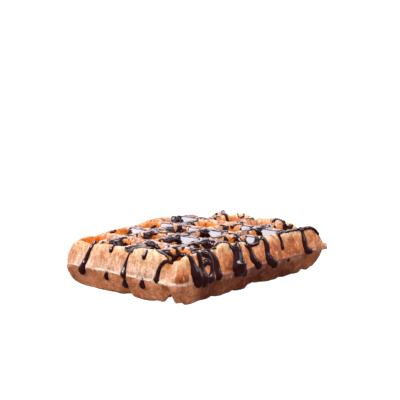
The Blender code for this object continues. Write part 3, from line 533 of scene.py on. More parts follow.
def wave_edges(point):
    up = smooth_step(SEAM_HEIGHT, HEIGHT, point.z)
    down = smooth_step(SEAM_HEIGHT, 0.0, point.z)
    moved = point.copy()
    sides = (
        (FRONT_LEFT_EDGE, point.y, LENGTH / 2 + point.x, Vector((1, 0, 0))),
        (BACK_RIGHT_EDGE, point.y, LENGTH / 2 - point.x, Vector((-1, 0, 0))),
        (FRONT_RIGHT_EDGE, point.x, WIDTH / 2 + point.y, Vector((0, 1, 0))),
        (BACK_LEFT_EDGE, point.x, WIDTH / 2 - point.y, Vector((0, -1, 0))),
    )
    for rows, place, inward_distance, inward in sides:
        near = 1 - smooth_step(RIM, WAVE_DEPTH, inward_distance)
        if near <= 0:
            continue
        top_rise, base_rise, groove = edge_change(rows, place)
        outer = 1 - smooth_step(0.6 * RIM, RIM, inward_distance)
        off_seam = smooth_step(FLASH_HALF_THICKNESS, 4 * FLASH_HALF_THICKNESS,
                               abs(point.z - SEAM_HEIGHT))
        moved.z += near * (top_rise * up + base_rise * down)
        moved += inward * groove * outer * off_seam
    x, y, radius, drop = SHORT_FILLED_CORNER
    weight = math.exp(-(((point.x - x) ** 2 + (point.y - y) ** 2) / radius**2))
    moved.z -= drop * weight * up
    return moved


def uneven(point):
    offset = noise.noise_vector(point * UNEVEN_SCALE) * UNEVENNESS
    offset += noise.noise_vector(point * UNEVEN_SCALE * 3.1) * UNEVENNESS * 0.4
    return point + offset


def refine_sides(mesh):
    """Splits the faces of the four sides once more, where the seam and the grain show."""
    bm = bmesh.new()
    bm.from_mesh(mesh)
    edges = set()
    for face in bm.faces:
        centre = face.calc_center_median()
        inside = min(LENGTH / 2 - abs(centre.x), WIDTH / 2 - abs(centre.y))
        if inside < 0.7 * RIM and 0.002 < centre.z and abs(face.normal.z) < 0.8:
            edges.update(face.edges)
    bmesh.ops.subdivide_edges(bm, edges=list(edges), cuts=1, use_grid_fill=True)
    bmesh.ops.triangulate(bm, faces=bm.faces)
    bm.normal_update()
    bm.to_mesh(mesh)
    bm.free()


def roughen(mesh):
    """The grain and small pits of the baked surface, and the ragged flash at the seam."""
    normals = [vert.normal.copy() for vert in mesh.vertices]
    pocket = []
    rib = []
    seam = []
    toast_and_side_shade = []
    for vert, normal in zip(mesh.vertices, normals):
        point = vert.co.copy()
        grain = 0.00016 * noise.noise(point * 420) + 0.00010 * noise.noise(point * 900)
        pit = noise.noise(point * 640 + Vector((7, 3, 1)))
        grain -= 0.00030 * smooth_step(0.38, 0.62, pit)
        side = 1 - smooth_step(0.5 * RIM, RIM, side_distance(point))
        from_seam = abs(point.z - SEAM_HEIGHT)
        lip = math.exp(-((from_seam / 0.00075) ** 2)) * side
        ragged = 0.0004 + 0.0010 * noise.noise(Vector((point.x, point.y, 0)) * 260)
        outward = Vector((normal.x, normal.y, 0))
        if outward.length > 0.01:
            outward.normalize()
        moved = point + normal * grain + outward * lip * max(ragged, -0.0004)
        level = smooth_step(RIM, 1.6 * RIM, side_distance(point))
        level *= smooth_step(HEIGHT - 0.0016, HEIGHT - 0.0003, point.z)
        lump = max(noise.noise(point * 330), -0.1) + 0.5 * noise.noise(point * 700)
        moved.z += level * RIB_LUMPS * lump
        moved.z = max(moved.z, 0.0)
        vert.co = moved
        rib.append(level)
        pocket.append(pocket_depth(point))
        # The seam value marks where the lip colour, with its painted highlight, goes
        seam.append(max(lip, smooth_step(*SPIKE_REACH, point.x - point.y)))
        toast_and_side_shade.append(toast_and_side_shade_at(point))
    for name, values in (("pocket", pocket), ("rib", rib), ("seam", seam), ("toast_and_side_shade", toast_and_side_shade)):
        layer = mesh.attributes.new(name, "FLOAT", "POINT")
        layer.data.foreach_set("value", values)


def toast_and_side_shade_at(point):
    """0 along the side that stayed pale, 1 where the iron browned the crust more; the pale left side
    is partly painted light, the browned front side partly painted shade.
    """
    along = LENGTH / 2 + point.x - (PALE_CORNER if point.z < SEAM_HEIGHT else 0.0)
    from_pale = smooth_step(0.0, 0.016, along)
    # Painted shade: the front side is pushed toward the browned colours
    front = smooth_step(0.012, 0.0, WIDTH / 2 + point.y) * smooth_step(0.0, 0.012, along)
    total = 0.55 * from_pale + 0.5 * front + 0.35 * noise.noise(point * 55)
    off_lip = smooth_step(0.0006, 0.0020, abs(point.z - SEAM_HEIGHT))
    total += off_lip * spots_at(point, BROWNING_LIGHT_SHADE_SPOTS)
    return min(max(total, 0.0), 1.7)


def spots_at(point, spots):
    total = 0.0
    for x, y, z, radius, amount in spots:
        away = ((point.x - x) ** 2 + (point.y - y) ** 2 + (point.z - z) ** 2) / radius**2
        total += amount * math.exp(-away)
    return total


def side_distance(point):
    return min(LENGTH / 2 - abs(point.x), WIDTH / 2 - abs(point.y))


def pocket_depth(point):
    """0 on ribs and sides, rising to 1 at a pocket's floor."""
    # This sets how much of the pockets' painted shade and glow a point gets
    inner = smooth_step(0.6 * RIM, RIM, side_distance(point))
    if point.z > SEAM_HEIGHT:
        depth = inner * smooth_step(HEIGHT - 0.0002, HEIGHT - 0.0022, point.z)
        return min(max(depth + spots_at(point, WALL_TINTS), 0.0), 1.0)
    return inner * smooth_step(0.0015, LOWER_POCKET_DEPTH, point.z)


def flash_spike():
    x, y, z, length, width, thickness = FLASH_SPIKE
    bm = bmesh.new()
    bmesh.ops.create_cone(bm, cap_ends=True, segments=12, radius1=width / 2, radius2=width / 4,
                          depth=length)
    bmesh.ops.subdivide_edges(bm, edges=bm.edges, cuts=3, use_grid_fill=True)
    bmesh.ops.translate(bm, vec=(0, 0, SPIKE_LONGER), verts=bm.verts)
    placing = Matrix.Translation((x, y, z)) @ Matrix.Rotation(math.radians(-45), 4, "Z")
    placing @= Matrix.Diagonal((1, 1, thickness / width, 1))
    placing @= Matrix.Rotation(math.radians(90), 4, "Y")
    bmesh.ops.transform(bm, matrix=placing, verts=bm.verts)
    bmesh.ops.recalc_face_normals(bm, faces=bm.faces)
    return mesh_from(bm, "flash_spike")


def make_crust():
    """The crust before its fine grain: what the sauce lies on."""
    obj = add_object("crust_cage", crust_cage())
    smooth = obj.modifiers.new("Soft form", "SUBSURF")
    smooth.levels = CRUST_LEVELS
    smooth.render_levels = CRUST_LEVELS
    mesh = evaluated_mesh(obj)
    bpy.data.objects.remove(obj, do_unlink=True)
    for vert in mesh.vertices:
        point = uneven(wave_edges(rounded_corner(vert.co)))
        point.z = max(point.z, 0.0)
        vert.co = point
    refine_sides(mesh)
    return joined((mesh, flash_spike()), "crust")


# Sauce shapes


def tube(points, radii, tallness=1.0, sides=12):
    """A round-ended strand through the points, pressed flatter by its tallness."""
    bm = bmesh.new()
    rings = []
    for index, (point, radius) in enumerate(zip(points, radii)):
        before = points[max(index - 1, 0)]
        after = points[min(index + 1, len(points) - 1)]
        along = (after - before).normalized()
        across = along.orthogonal().normalized()
        other = along.cross(across)
        ring = []
        for side in range(sides):
            angle = 2 * math.pi * side / sides
            outward = radius * (across * math.cos(angle) + other * math.sin(angle))
            outward.z *= tallness
            ring.append(bm.verts.new(point + outward))
        rings.append(ring)
    for ring, following in zip(rings, rings[1:]):
        turn = min(range(sides), key=lambda shift: (ring[0].co - following[shift].co).length)
        for side in range(sides):
            bm.faces.new((
                ring[side], ring[(side + 1) % sides],
                following[(side + 1 + turn) % sides], following[(side + turn) % sides],
            ))
    bm.faces.new(list(reversed(rings[0])))
    bm.faces.new(rings[-1])
    bmesh.ops.recalc_face_normals(bm, faces=bm.faces)
    return mesh_from(bm, "strand")


def smooth_route(knots, step):
    route = []
    for index in range(len(knots) - 1):
        before = knots[max(index - 1, 0)]
        start, end = knots[index], knots[index + 1]
        after = knots[min(index + 2, len(knots) - 1)]
        pieces = max(int(round((end - start).length / step)), 1)
        for piece in range(pieces):
            t = piece / pieces
            route.append(0.5 * (
                2 * start + (end - before) * t
                + (2 * before - 5 * start + 4 * end - after) * t**2
                + (3 * start - before - 3 * end + after) * t**3
            ))
    route.append(knots[-1])
    return route


def rounded_ends(points, radii):
    first = points[0] + (points[0] - points[1]).normalized() * radii[0] * 0.75
    last = points[-1] + (points[-1] - points[-2]).normalized() * radii[-1] * 0.75
    return [first, *points, last], [radii[0] * 0.55, *radii, radii[-1] * 0.55]


def varied(half_width, point):
    return half_width * (1 + WIDTH_CHANGE * noise.noise(point * WIDTH_SCALE))


def side_face(tree, along_axis, place, height):
    """Where the crust's side is at a place along it and a height."""
    across, side = (0, LENGTH) if along_axis == "Y" else (1, WIDTH)
    plain = side_inset(min(max(height, 0.0), HEIGHT)) - side / 2
    start, inward = Vector((place, place, height)), Vector((0, 0, 0))
    start[across] = -side
    inward[across] = 1.0
    hit = tree.ray_cast(start, inward)[0]
    found = hit[across] if hit else plain
    return min(max(found, plain - FACE_RANGE), plain + FACE_RANGE)


def side_drips(drips, along_axis, tree):
    """Sauce on one side: strands laid out flat, stood on the side and pressed flatter."""
    across = 0 if along_axis == "Y" else 1
    shapes = []
    for drip in drips:
        sheet = [Vector((place, height, half_width)) for place, height, half_width in drip]
        route = smooth_route(sheet, STRAND_STEP)
        points = []
        for knot in route:
            point = Vector((knot.x, knot.x, knot.y))
            point[across] = side_face(tree, along_axis, knot.x, knot.y)
            points.append(point)
        widths = [varied(knot.z, point) for knot, point in zip(route, points)]
        points, radii = rounded_ends(points, widths)
        mesh = tube(points, radii)
        for vert in mesh.vertices:
            face = side_face(tree, along_axis, vert.co[1 - across], vert.co.z)
            vert.co[across] = face + (vert.co[across] - face) * DRIP_FLATNESS
        shapes.append(mesh)
    return shapes


def sauce_level(x, y):
    for place, depth in FILLED_POCKETS.items():
        start_x, end_x = SPANS_LONG[place[0]]
        start_y, end_y = SPANS_SHORT[place[1]]
        if start_x < x < end_x and start_y < y < end_y:
            return HEIGHT - depth
    return 0.0


def surface_height(tree, x, y):
    hit = tree.ray_cast(Vector((x, y, 2 * HEIGHT)), Vector((0, 0, -1)))[0]
    return hit.z if hit else SEAM_HEIGHT


def top_strands(tree):
    shapes = []
    placed = [(width, [Vector((x, y, 0.0)) for x, y in knots]) for width, *knots in TOP_STRANDS]
    for half_width, knots in placed + threads():
        route = smooth_route(knots, STRAND_STEP)
        for point in route:
            point.z = max(surface_height(tree, point.x, point.y), sauce_level(point.x, point.y))
            point.z -= STRAND_SUNK * half_width
        points, radii = rounded_ends(route, [varied(half_width, point) for point in route])
        shapes.append(tube(points, radii, STRAND_TALLNESS))
    return shapes


def pools():
    shapes = []
    for place, depth in FILLED_POCKETS.items():
        start_x, end_x = SPANS_LONG[place[0]]
        start_y, end_y = SPANS_SHORT[place[1]]
        low = HEIGHT - UPPER_POCKET_DEPTH - POOL_ROOT
        high = HEIGHT - depth
        bm = bmesh.new()
        bmesh.ops.create_cube(bm, size=1.0)
        bmesh.ops.scale(bm, vec=(end_x - start_x, end_y - start_y, high - low), verts=bm.verts)
        middle = ((start_x + end_x) / 2, (start_y + end_y) / 2, (low + high) / 2)
        bmesh.ops.translate(bm, vec=middle, verts=bm.verts)
        shapes.append(mesh_from(bm, "pool"))
    return shapes


def hull(points, name):
    bm = bmesh.new()
    for point in points:
        bm.verts.new(point)
    bmesh.ops.convex_hull(bm, input=bm.verts)
    return mesh_from(bm, name)


def run_profile(wall, place):
    """Across a wall: how a run of sauce stands there, as (across, height) points."""
    change = noise.noise(Vector((wall * 90, place * RUN_RAGGED_SCALE, 3.0)))
    depth = RUN_DEPTH * (1 + RUN_RAGGED * change)
    top = HEIGHT + RUN_PROUD
    return (
        (-RUN_REACH * depth / RUN_DEPTH, HEIGHT - depth), (0.0, top), (RUN_ROOF, top - 0.0002),
        (RUN_ROOF, HEIGHT - 2 * RUN_DEPTH), (-RUN_REACH * depth / RUN_DEPTH, HEIGHT - 2 * RUN_DEPTH),
    )


def wall_runs():
    """Sauce that leans on the far walls of pockets, from the rib's edge down, in slices."""
    shapes = []
    runs = [(SPANS_LONG[column][1], start, end, False) for column, start, end in WALL_RUNS_ALONG_Y]
    runs += [(SPANS_SHORT[row][1], start, end, True) for row, start, end in WALL_RUNS_ALONG_X]
    for wall, start, end, turned in runs:
        slices = max(int(round((end - start) / RUN_SLICE)), 1)
        places = [start + (end - start) * step / slices for step in range(slices + 1)]
        for pair in zip(places, places[1:]):
            points = []
            for place in pair:
                for across, height in run_profile(wall, place):
                    plan = (place, wall + across) if turned else (wall + across, place)
                    points.append((*plan, height))
            shapes.append(hull(points, "run"))
    return shapes


def puddles(tree):
    """Flat, ragged discs that lie on the ribs."""
    shapes = []
    for number, (x, y, half_long, half_wide) in enumerate(PUDDLES):
        middle = surface_height(tree, x, y)
        bm = bmesh.new()
        ring = []
        for side in range(PUDDLE_SIDES):
            angle = 2 * math.pi * side / PUDDLE_SIDES
            across, along = math.cos(angle), math.sin(angle)
            wobble = noise.noise(Vector((2.2 * across, 2.2 * along, 5.0 * number)))
            size = (1 + PUDDLE_RAGGED * wobble) / (across**4 + along**4) ** 0.25
            plan = (x + size * half_long * across, y + size * half_wide * along)
            height = max(surface_height(tree, *plan), middle - PUDDLE_SAG)
            ring.append(bm.verts.new((*plan, height - PUDDLE_BELOW)))
        face = bm.faces.new(ring)
        made = bmesh.ops.extrude_face_region(bm, geom=[face])["geom"]
        for vert in [item for item in made if isinstance(item, bmesh.types.BMVert)]:
            vert.co.z += PUDDLE_PROUD + PUDDLE_BELOW
        bmesh.ops.triangulate(bm, faces=bm.faces)
        bmesh.ops.recalc_face_normals(bm, faces=bm.faces)
        shapes.append(mesh_from(bm, "puddle"))
    return shapes


def threads():
    """Plan routes of the fine threads, strewn where the thin sauce is."""
    rng = random.Random(THREAD_SEED)
    routes = []
    while len(routes) < THREADS:
        x, y, radius, share = rng.choice(FILM_AREAS)
        turn = rng.uniform(0, 2 * math.pi)
        away = radius * math.sqrt(rng.random())
        at = Vector((x + away * math.cos(turn), y + away * math.sin(turn), 0.0))
        heading = THREAD_TURN + rng.gauss(0, 0.8)
        route = [at.copy()]
        for _ in range(rng.randint(2, 4)):
            heading += rng.gauss(0, 0.6)
            at = at + 0.0032 * Vector((math.cos(heading), math.sin(heading), 0.0))
            route.append(at.copy())
        if max(abs(point.x) for point in route) < THREADS_END:
            if max(abs(point.y) for point in route) < WIDTH / 2 - 0.006:
                routes.append((rng.uniform(*THREAD_WIDTHS), route))
    return routes


def film_thickness(points):
    """How thick the thin sauce is at each point: below zero there is none."""
    amount = np.zeros(len(points))
    for x, y, radius, share in FILM_AREAS:
        away = np.hypot(points[:, 0] - x, points[:, 1] - y)
        amount = np.maximum(amount, share * np.exp(-((away / radius) ** 2)))
    fine = np.empty(len(points))
    broad = np.empty(len(points))
    for index, point in enumerate(points):
        place = Vector(point)
        drawn = FILM_STRETCH @ place
        fine[index] = noise.noise(drawn * FILM_SCALE) + 0.4 * noise.noise(drawn * FILM_SCALE * 2.1)
        broad[index] = noise.noise(place * 170)
    broken = FILM_THICKNESS * (0.9 * amount + 2.2 * fine - 1.0)
    sheet = np.full(len(points), FILM_DEEPEST)
    for start_x, end_x, start_y, end_y in SHEETS:
        inside_x = np.minimum(points[:, 0] - start_x, end_x - points[:, 0])
        inside_y = np.minimum(points[:, 1] - start_y, end_y - points[:, 1])
        inside = np.minimum(inside_x, inside_y) / SHEET_EDGE + 1.1 * broad
        cover = np.minimum(0.6 + 1.2 * inside, SHEET_COVER + 3.0 * fine)
        sheet = np.maximum(sheet, SHEET_THICKNESS * np.clip(cover, -1.0, 1.0))
    return np.maximum(broken, sheet)


def make_sauce(crust, tree):
    shapes = [crust, *pools(), *wall_runs(), *puddles(tree), *top_strands(tree)]
    shapes += side_drips(FRONT_LEFT_DRIPS, "Y", tree) + side_drips(FRONT_RIGHT_DRIPS, "X", tree)
    whole = add_object("sauce", joined(shapes, "sauce"))
    remesh = whole.modifiers.new("One skin", "REMESH")
    remesh.mode = "VOXEL"
    remesh.voxel_size = VOXEL
    soften = whole.modifiers.new("Soft skin", "SMOOTH")
    soften.factor = 0.5
    soften.iterations = 4
    apply_modifiers(whole)
    mesh = whole.data
    count = len(mesh.vertices)
    points = np.empty(count * 3, np.float32)
    mesh.vertices.foreach_get("co", points)
    points = points.reshape(-1, 3)
    normals = np.empty(count * 3, np.float32)
    mesh.vertices.foreach_get("normal", normals)
    normals = normals.reshape(-1, 3)
    upper = np.nonzero(points[:, 2] > 0.004)[0]
    proud = np.zeros(count)
    for index in upper:
        place = Vector(points[index])
        near, facing, _, away = tree.find_nearest(place)
        proud[index] = away if (place - near).dot(facing) > 0 else -away
    film = np.full(count, FILM_DEEPEST * 2)
    side = np.minimum(LENGTH / 2 - np.abs(points[:, 0]), WIDTH / 2 - np.abs(points[:, 1]))
    top = (points[:, 2] > SEAM_HEIGHT + 0.001) & (side > 0.0060)
    chosen = np.nonzero(top)[0]
    film[chosen] = film_thickness(points[chosen].astype(float))
    share = np.clip((proud - 0.00005) / 0.00030, 0, 1)
    share = share * share * (3 - 2 * share)
    offset = np.clip(film, FILM_DEEPEST, SHEET_THICKNESS) * (1 - share)
    for index in chosen:
        place = Vector(points[index])
        heave = SAUCE_HEAVE * noise.noise(place * SAUCE_HEAVE_SCALE)
        heave += BROAD_HEAVE * noise.noise(place * BROAD_HEAVE_SCALE)
        offset[index] += heave * share[index] * (1 - abs(normals[index, 0]))
    moved = points + normals * offset[:, None]
    mesh.vertices.foreach_set("co", moved.astype(np.float32).ravel())
    kept = (share > 0.02) | (film > FILM_DEEPEST)
    bm = bmesh.new()
    bm.from_mesh(mesh)
    bm.verts.ensure_lookup_table()
    gone = [face for face in bm.faces if not any(kept[vert.index] for vert in face.verts)]
    bmesh.ops.delete(bm, geom=gone, context="FACES")
    bmesh.ops.triangulate(bm, faces=bm.faces)
    bm.to_mesh(mesh)
    bm.free()
    if len(mesh.polygons) > MOST_TRIANGLES:
        lighter = whole.modifiers.new("Fewer faces", "DECIMATE")
        lighter.ratio = MOST_TRIANGLES / len(mesh.polygons)
        apply_modifiers(whole)
    whole.data.shade_smooth()
    whole.location = GRID_PLACE
    return whole


# Materials


def new_material(name):
    made = bpy.data.materials.new(name)
    made.use_nodes = True
    nodes = made.node_tree.nodes
    return made, nodes, made.node_tree.links, nodes["Principled BSDF"]


def add_noise(nodes, links, coordinates, scale, detail=4.0, roughness=0.6):
    texture = nodes.new("ShaderNodeTexNoise")
    texture.inputs["Scale"].default_value = scale
    texture.inputs["Detail"].default_value = detail
    texture.inputs["Roughness"].default_value = roughness
    links.new(coordinates, texture.inputs["Vector"])
    return texture.outputs["Fac"]


def add_ramp(nodes, links, value, stops):
    ramp = nodes.new("ShaderNodeValToRGB")
    elements = ramp.color_ramp.elements
    while len(elements) < len(stops):
        elements.new(0.5)
    for element, (position, colour) in zip(elements, stops):
        element.position = position
        element.color = (*colour, 1.0)
    links.new(value, ramp.inputs["Fac"])
    return ramp.outputs["Color"]


def add_mix(nodes, links, factor, first, second, kind="MIX"):
    mix = nodes.new("ShaderNodeMix")
    mix.data_type = "RGBA"
    mix.blend_type = kind
    sockets = (mix.inputs["Factor"], mix.inputs["A"], mix.inputs["B"])
    for value, socket in zip((factor, first, second), sockets):
        if isinstance(value, (int, float)):
            socket.default_value = value
        elif isinstance(value, tuple):
            socket.default_value = (*value, 1.0)
        else:
            links.new(value, socket)
    return mix.outputs["Result"]


def add_math(nodes, links, kind, first, second):
    step = nodes.new("ShaderNodeMath")
    step.operation = kind
    for value, socket in ((first, step.inputs[0]), (second, step.inputs[1])):
        if isinstance(value, (int, float)):
            socket.default_value = value
        else:
            links.new(value, socket)
    return step.outputs[0]


def stretched(nodes, links, coordinates, scale):
    squeeze = nodes.new("ShaderNodeMapping")
    squeeze.inputs["Scale"].default_value = scale
    links.new(coordinates, squeeze.inputs["Vector"])
    return squeeze.outputs["Vector"]


def between(nodes, links, value, low, high):
    """0 where the value is low, 1 where it is high, and smooth between them."""
    spread = nodes.new("ShaderNodeMapRange")
    spread.interpolation_type = "SMOOTHSTEP"
    spread.inputs["From Min"].default_value = low
    spread.inputs["From Max"].default_value = high
    links.new(value, spread.inputs["Value"])
    return spread.outputs["Result"]


def attribute(nodes, name):
    read = nodes.new("ShaderNodeAttribute")
    read.attribute_name = name
    return read.outputs["Fac"]


def crust_material():
    """Pale where the iron hardly touched, orange and brown where it did, with a fine grain; painted
    light pales the left side, tops and lip, painted shade darkens the front side and pockets.
    """
    made, nodes, links, shader = new_material("baked crust")
    place = nodes.new("ShaderNodeTexCoord").outputs["Object"]
    split = nodes.new("ShaderNodeSeparateXYZ")
    links.new(place, split.inputs["Vector"])
    blotch = add_noise(nodes, links, place, 75.0, 6.0, 0.65)
    mottle = add_noise(nodes, links, stretched(nodes, links, place, (1.0, 1.0, 0.55)), 330.0, 4.0, 0.6)
    fibres = add_noise(nodes, links, stretched(nodes, links, place, (1.0, 1.0, 0.26)), 560.0, 3.0, 0.6)
    grain = add_noise(nodes, links, place, 1000.0, 3.0, 0.65)
    low_pale = add_ramp(nodes, links, blotch, (
        (0.30, (0.82, 0.66, 0.54)), (0.48, (0.76, 0.53, 0.40)), (0.62, (0.68, 0.39, 0.24)),
        (0.76, (0.58, 0.26, 0.12)),
    ))
    high_pale = add_ramp(nodes, links, blotch, (
        (0.32, (0.83, 0.66, 0.48)), (0.46, (0.76, 0.50, 0.30)), (0.58, (0.71, 0.39, 0.18)),
        (0.72, (0.60, 0.22, 0.05)),
    ))
    middle = between(nodes, links, split.outputs["Z"], SEAM_HEIGHT + 0.003, SEAM_HEIGHT + 0.011)
    pale = add_mix(nodes, links, middle, low_pale, high_pale)
    browned_and_shaded = add_ramp(nodes, links, blotch, (
        (0.30, (0.90, 0.44, 0.19)), (0.45, (0.74, 0.28, 0.105)), (0.58, (0.56, 0.165, 0.060)),
        (0.74, (0.36, 0.09, 0.030)),
    ))
    # The toast value picks pale or browned colours: real browning, painted light on the pale left side
    # and lower front corner, painted shade on the front side
    toast_and_side_shade = attribute(nodes, "toast_and_side_shade")
    baked = add_mix(nodes, links, toast_and_side_shade, pale, browned_and_shaded)
    # Darkest brown where the toast value passes 1: strong browning, and the first spot's painted shade
    # at the front corner
    upper = add_mix(nodes, links, between(nodes, links, toast_and_side_shade, 1.0, 1.6), baked, (0.34, 0.095, 0.032))
    lower_pale = add_ramp(nodes, links, blotch, (
        (0.28, (0.84, 0.385, 0.205)), (0.50, (0.69, 0.265, 0.125)), (0.72, (0.46, 0.155, 0.072)),
    ))
    lower_browned_and_shaded = add_ramp(nodes, links, blotch, (
        (0.28, (0.44, 0.145, 0.080)), (0.48, (0.27, 0.076, 0.040)), (0.70, (0.15, 0.034, 0.018)),
    ))
    near_base = between(nodes, links, split.outputs["Z"], 0.0080, 0.0010)
    base_colour = add_mix(nodes, links, near_base, lower_browned_and_shaded, (0.62, 0.56, 0.56), "MULTIPLY")
    ledge = between(nodes, links, split.outputs["Z"], SEAM_HEIGHT - 0.0050, SEAM_HEIGHT - 0.0022)
    ledge_share = add_math(nodes, links, "MULTIPLY", ledge, 0.75)
    ledged = add_mix(nodes, links, ledge_share, base_colour, (0.34, 0.16, 0.12))
    lower = add_mix(nodes, links, toast_and_side_shade, lower_pale, ledged)
    below = between(nodes, links, split.outputs["Z"], SEAM_HEIGHT, SEAM_HEIGHT - 0.0012)
    halves = add_mix(nodes, links, below, upper, lower)
    # Cream patches near the top and the upper edges: paler crust with a painted highlight and sheen
    high = between(nodes, links, split.outputs["Z"], HEIGHT - 0.0052, HEIGHT - 0.0008)
    sheen_patches = add_math(nodes, links, "MULTIPLY", high, between(nodes, links, mottle, 0.30, 0.62))
    cream_and_sheen = add_mix(nodes, links, sheen_patches, halves, (0.88, 0.66, 0.44))
    # Toward each pocket's floor the crust turns a deeper, saturated orange: painted shade and warm
    # glow of the recess
    recess_shade_and_glow = add_ramp(nodes, links, blotch, (
        (0.32, (1.0, 0.46, 0.09)), (0.52, (0.88, 0.28, 0.03)), (0.72, (0.58, 0.13, 0.012)),
    ))
    # Rib tops: mottled crust colour up to pinkish cream, the cream a painted sheen
    ribs = add_ramp(nodes, links, mottle, (
        (0.38, (0.38, 0.17, 0.125)), (0.49, (0.60, 0.34, 0.25)), (0.60, (0.84, 0.60, 0.40)),
    ))
    topped = add_mix(nodes, links, attribute(nodes, "rib"), cream_and_sheen, ribs)
    orange = add_mix(nodes, links, attribute(nodes, "pocket"), topped, recess_shade_and_glow)
    # The seam's lip and the spike: pale cream as a painted highlight where the flash catches the
    # light, brown where the toast value is high
    lip_with_highlight = add_mix(nodes, links, toast_and_side_shade, (0.96, 0.78, 0.66), (0.46, 0.21, 0.165))
    lip_highlighted = add_mix(nodes, links, attribute(nodes, "seam"), orange, lip_with_highlight)
    spots = add_ramp(nodes, links, mottle, (
        (0.36, (0.78, 0.60, 0.44)), (0.50, (0.94, 0.88, 0.80)), (0.62, (1.0, 1.0, 1.0)),
    ))
    mottled = add_mix(nodes, links, 0.75, lip_highlighted, spots, "MULTIPLY")
    streak = add_ramp(nodes, links, fibres, ((0.40, (0.70, 0.52, 0.42)), (0.56, (1.0, 1.0, 1.0))))
    streaked = add_mix(nodes, links, 0.55, mottled, streak, "MULTIPLY")
    speckle = add_ramp(nodes, links, grain, ((0.36, (0.64, 0.52, 0.46)), (0.54, (1.0, 1.0, 1.0))))
    speckled = add_mix(nodes, links, 0.50, streaked, speckle, "MULTIPLY")
    flecks = between(nodes, links, fibres, 0.55, 0.70)
    outside = add_math(nodes, links, "SUBTRACT", 1.0, attribute(nodes, "pocket"))
    above = add_math(nodes, links, "SUBTRACT", 0.42, add_math(nodes, links, "MULTIPLY", below, 0.34))
    fleck_share = add_math(nodes, links, "MULTIPLY", above, outside)
    pale_flecks = add_math(nodes, links, "MULTIPLY", flecks, fleck_share)
    final = add_mix(nodes, links, pale_flecks, speckled, (0.96, 0.74, 0.58))
    links.new(final, shader.inputs["Base Color"])
    shader.inputs["Roughness"].default_value = 0.5
    shader.inputs["Specular IOR Level"].default_value = 0.25
    shader.inputs["Subsurface Weight"].default_value = 0.10
    shader.inputs["Subsurface Radius"].default_value = (1.0, 0.45, 0.2)
    shader.inputs["Subsurface Scale"].default_value = 0.0025
    fine = add_noise(nodes, links, place, 1300.0, 4.0, 0.7)
    pores = nodes.new("ShaderNodeTexVoronoi")
    pores.inputs["Scale"].default_value = 560.0
    links.new(place, pores.inputs["Vector"])
    pits = add_math(nodes, links, "MULTIPLY", pores.outputs["Distance"], 0.8)
    height = add_math(nodes, links, "ADD", fine, pits)
    ridges = add_math(nodes, links, "MULTIPLY", fibres, 1.2)
    relief = add_math(nodes, links, "ADD", height, ridges)
    bump = nodes.new("ShaderNodeBump")
    bump.inputs["Strength"].default_value = 0.85
    bump.inputs["Distance"].default_value = 0.00045
    links.new(relief, bump.inputs["Height"])
    links.new(bump.outputs["Normal"], shader.inputs["Normal"])
    return made


def sauce_material():
    made, nodes, links, shader = new_material("chocolate sauce")
    place = nodes.new("ShaderNodeTexCoord").outputs["Object"]
    streak = add_noise(nodes, links, place, 160.0, 3.0, 0.55)
    colour = add_ramp(nodes, links, streak, (
        (0.35, (0.014, 0.0024, 0.0034)),
        (0.65, (0.034, 0.0062, 0.0078)),
    ))
    links.new(colour, shader.inputs["Base Color"])
    dull = add_noise(nodes, links, place, 90.0, 3.0, 0.5)
    rough = nodes.new("ShaderNodeMapRange")
    rough.inputs["From Min"].default_value = 0.3
    rough.inputs["From Max"].default_value = 0.7
    rough.inputs["To Min"].default_value = 0.03
    rough.inputs["To Max"].default_value = 0.08
    links.new(dull, rough.inputs["Value"])
    links.new(rough.outputs["Result"], shader.inputs["Roughness"])
    shader.inputs["IOR"].default_value = 1.5
    ripple = add_noise(nodes, links, place, 260.0, 2.0, 0.5)
    bump = nodes.new("ShaderNodeBump")
    bump.inputs["Strength"].default_value = 0.10
    bump.inputs["Distance"].default_value = 0.0004
    links.new(ripple, bump.inputs["Height"])
    links.new(bump.outputs["Normal"], shader.inputs["Normal"])
    return made


# Studio


def add_floor():
    bm = bmesh.new()
    bmesh.ops.create_grid(bm, x_segments=1, y_segments=1, size=FLOOR_HALF)
    floor = add_object("floor", mesh_from(bm, "floor"))
    made, nodes, links, shader = new_material("pale floor")
    shader.inputs["Base Color"].default_value = (0.30, 0.30, 0.30, 1.0)
    shader.inputs["Roughness"].default_value = 1.0
    shader.inputs["Specular IOR Level"].default_value = 0.0
    shader.inputs["Emission Color"].default_value = (1.0, 1.0, 1.0, 1.0)
    shader.inputs["Emission Strength"].default_value = 1.0
    floor.location.z = -FLOOR_DROP
    floor.data.materials.append(made)
    floor.visible_diffuse = False
    floor.visible_glossy = False


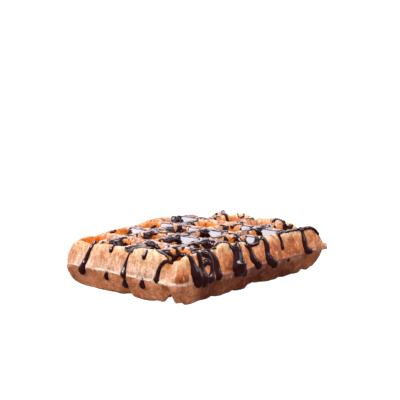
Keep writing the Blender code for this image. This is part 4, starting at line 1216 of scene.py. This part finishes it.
def add_world():
    """Dim in front and below, bright low down behind the waffle; plain white to the camera."""
    world = bpy.data.worlds.new("studio")
    world.use_nodes = True
    nodes, links = world.node_tree.nodes, world.node_tree.links
    direction = nodes.new("ShaderNodeTexCoord").outputs["Generated"]
    split = nodes.new("ShaderNodeSeparateXYZ")
    links.new(direction, split.inputs["Vector"])
    height = nodes.new("ShaderNodeMapRange")
    height.inputs["From Min"].default_value = -1.0
    links.new(split.outputs["Z"], height.inputs["Value"])
    front = add_ramp(nodes, links, height.outputs["Result"], WORLD_FRONT)
    back = add_ramp(nodes, links, height.outputs["Result"], WORLD_BACK)
    towards = nodes.new("ShaderNodeVectorMath")
    towards.operation = "DOT_PRODUCT"
    towards.inputs[1].default_value = WORLD_BACK_DIRECTION
    links.new(direction, towards.inputs[0])
    share = nodes.new("ShaderNodeMapRange")
    share.interpolation_type = "SMOOTHSTEP"
    share.inputs["From Min"].default_value = 0.05
    share.inputs["From Max"].default_value = 0.75
    links.new(towards.outputs["Value"], share.inputs["Value"])
    sky = add_mix(nodes, links, share.outputs["Result"], front, back)
    lit = nodes["Background"]
    links.new(sky, lit.inputs["Color"])
    lit.inputs["Strength"].default_value = WORLD_STRENGTH
    plain = nodes.new("ShaderNodeBackground")
    plain.inputs["Color"].default_value = (1.0, 1.0, 1.0, 1.0)
    plain.inputs["Strength"].default_value = 1.05
    seen = nodes.new("ShaderNodeLightPath").outputs["Is Camera Ray"]
    either = nodes.new("ShaderNodeMixShader")
    links.new(seen, either.inputs["Fac"])
    links.new(lit.outputs["Background"], either.inputs[1])
    links.new(plain.outputs["Background"], either.inputs[2])
    links.new(either.outputs["Shader"], nodes["World Output"].inputs["Surface"])
    bpy.context.scene.world = world


def add_area_light(name, place, size, energy, colour, shows):
    light = bpy.data.lights.new(name, "AREA")
    light.shape = "RECTANGLE"
    light.size, light.size_y = size
    light.energy = energy
    light.color = colour
    lamp = bpy.data.objects.new(name, light)
    bpy.context.scene.collection.objects.link(lamp)
    lamp.location = place
    lamp.rotation_euler = (LIGHTS_AIM - Vector(place)).to_track_quat("-Z", "Y").to_euler()
    lamp.visible_glossy = shows


def add_camera():
    camera = bpy.data.cameras.new("camera")
    camera.lens = CAMERA_LENS
    camera.sensor_width = SENSOR_WIDTH
    camera.clip_start = 0.05
    camera.clip_end = 20.0
    eye = bpy.data.objects.new("camera", camera)
    bpy.context.scene.collection.objects.link(eye)
    back = CAMERA_RIGHT.cross(CAMERA_UP)
    turn = Matrix((CAMERA_RIGHT, CAMERA_UP, back)).transposed()
    eye.matrix_world = Matrix.Translation(CAMERA_PLACE) @ turn.to_4x4()
    bpy.context.scene.camera = eye


def main():
    noise.seed_set(NOISE_SEED)
    smooth_mesh = make_crust()
    crust_mesh = smooth_mesh.copy()
    roughen(crust_mesh)
    crust = add_object("crust", crust_mesh)
    crust.location = GRID_PLACE
    crust_mesh.materials.clear()
    crust_mesh.materials.append(crust_material())
    crust_mesh.shade_smooth()
    tree = BVHTree.FromPolygons(
        [vert.co for vert in smooth_mesh.vertices],
        [tuple(face.vertices) for face in smooth_mesh.polygons],
    )
    sauce = make_sauce(smooth_mesh, tree)
    sauce.data.materials.clear()
    sauce.data.materials.append(sauce_material())
    for piece, slot in ((crust, "crust"), (sauce, "chocolate")):
        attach(piece, "root")
        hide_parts("waffle")
    print("TRIANGLES", len(crust.data.polygons), len(sauce.data.polygons))
    add_floor()
    add_world()
    for row in SOFT_LIGHTS:
        add_area_light(*row)
    add_camera()
    bpy.context.scene.view_settings.view_transform = "Standard"


main()
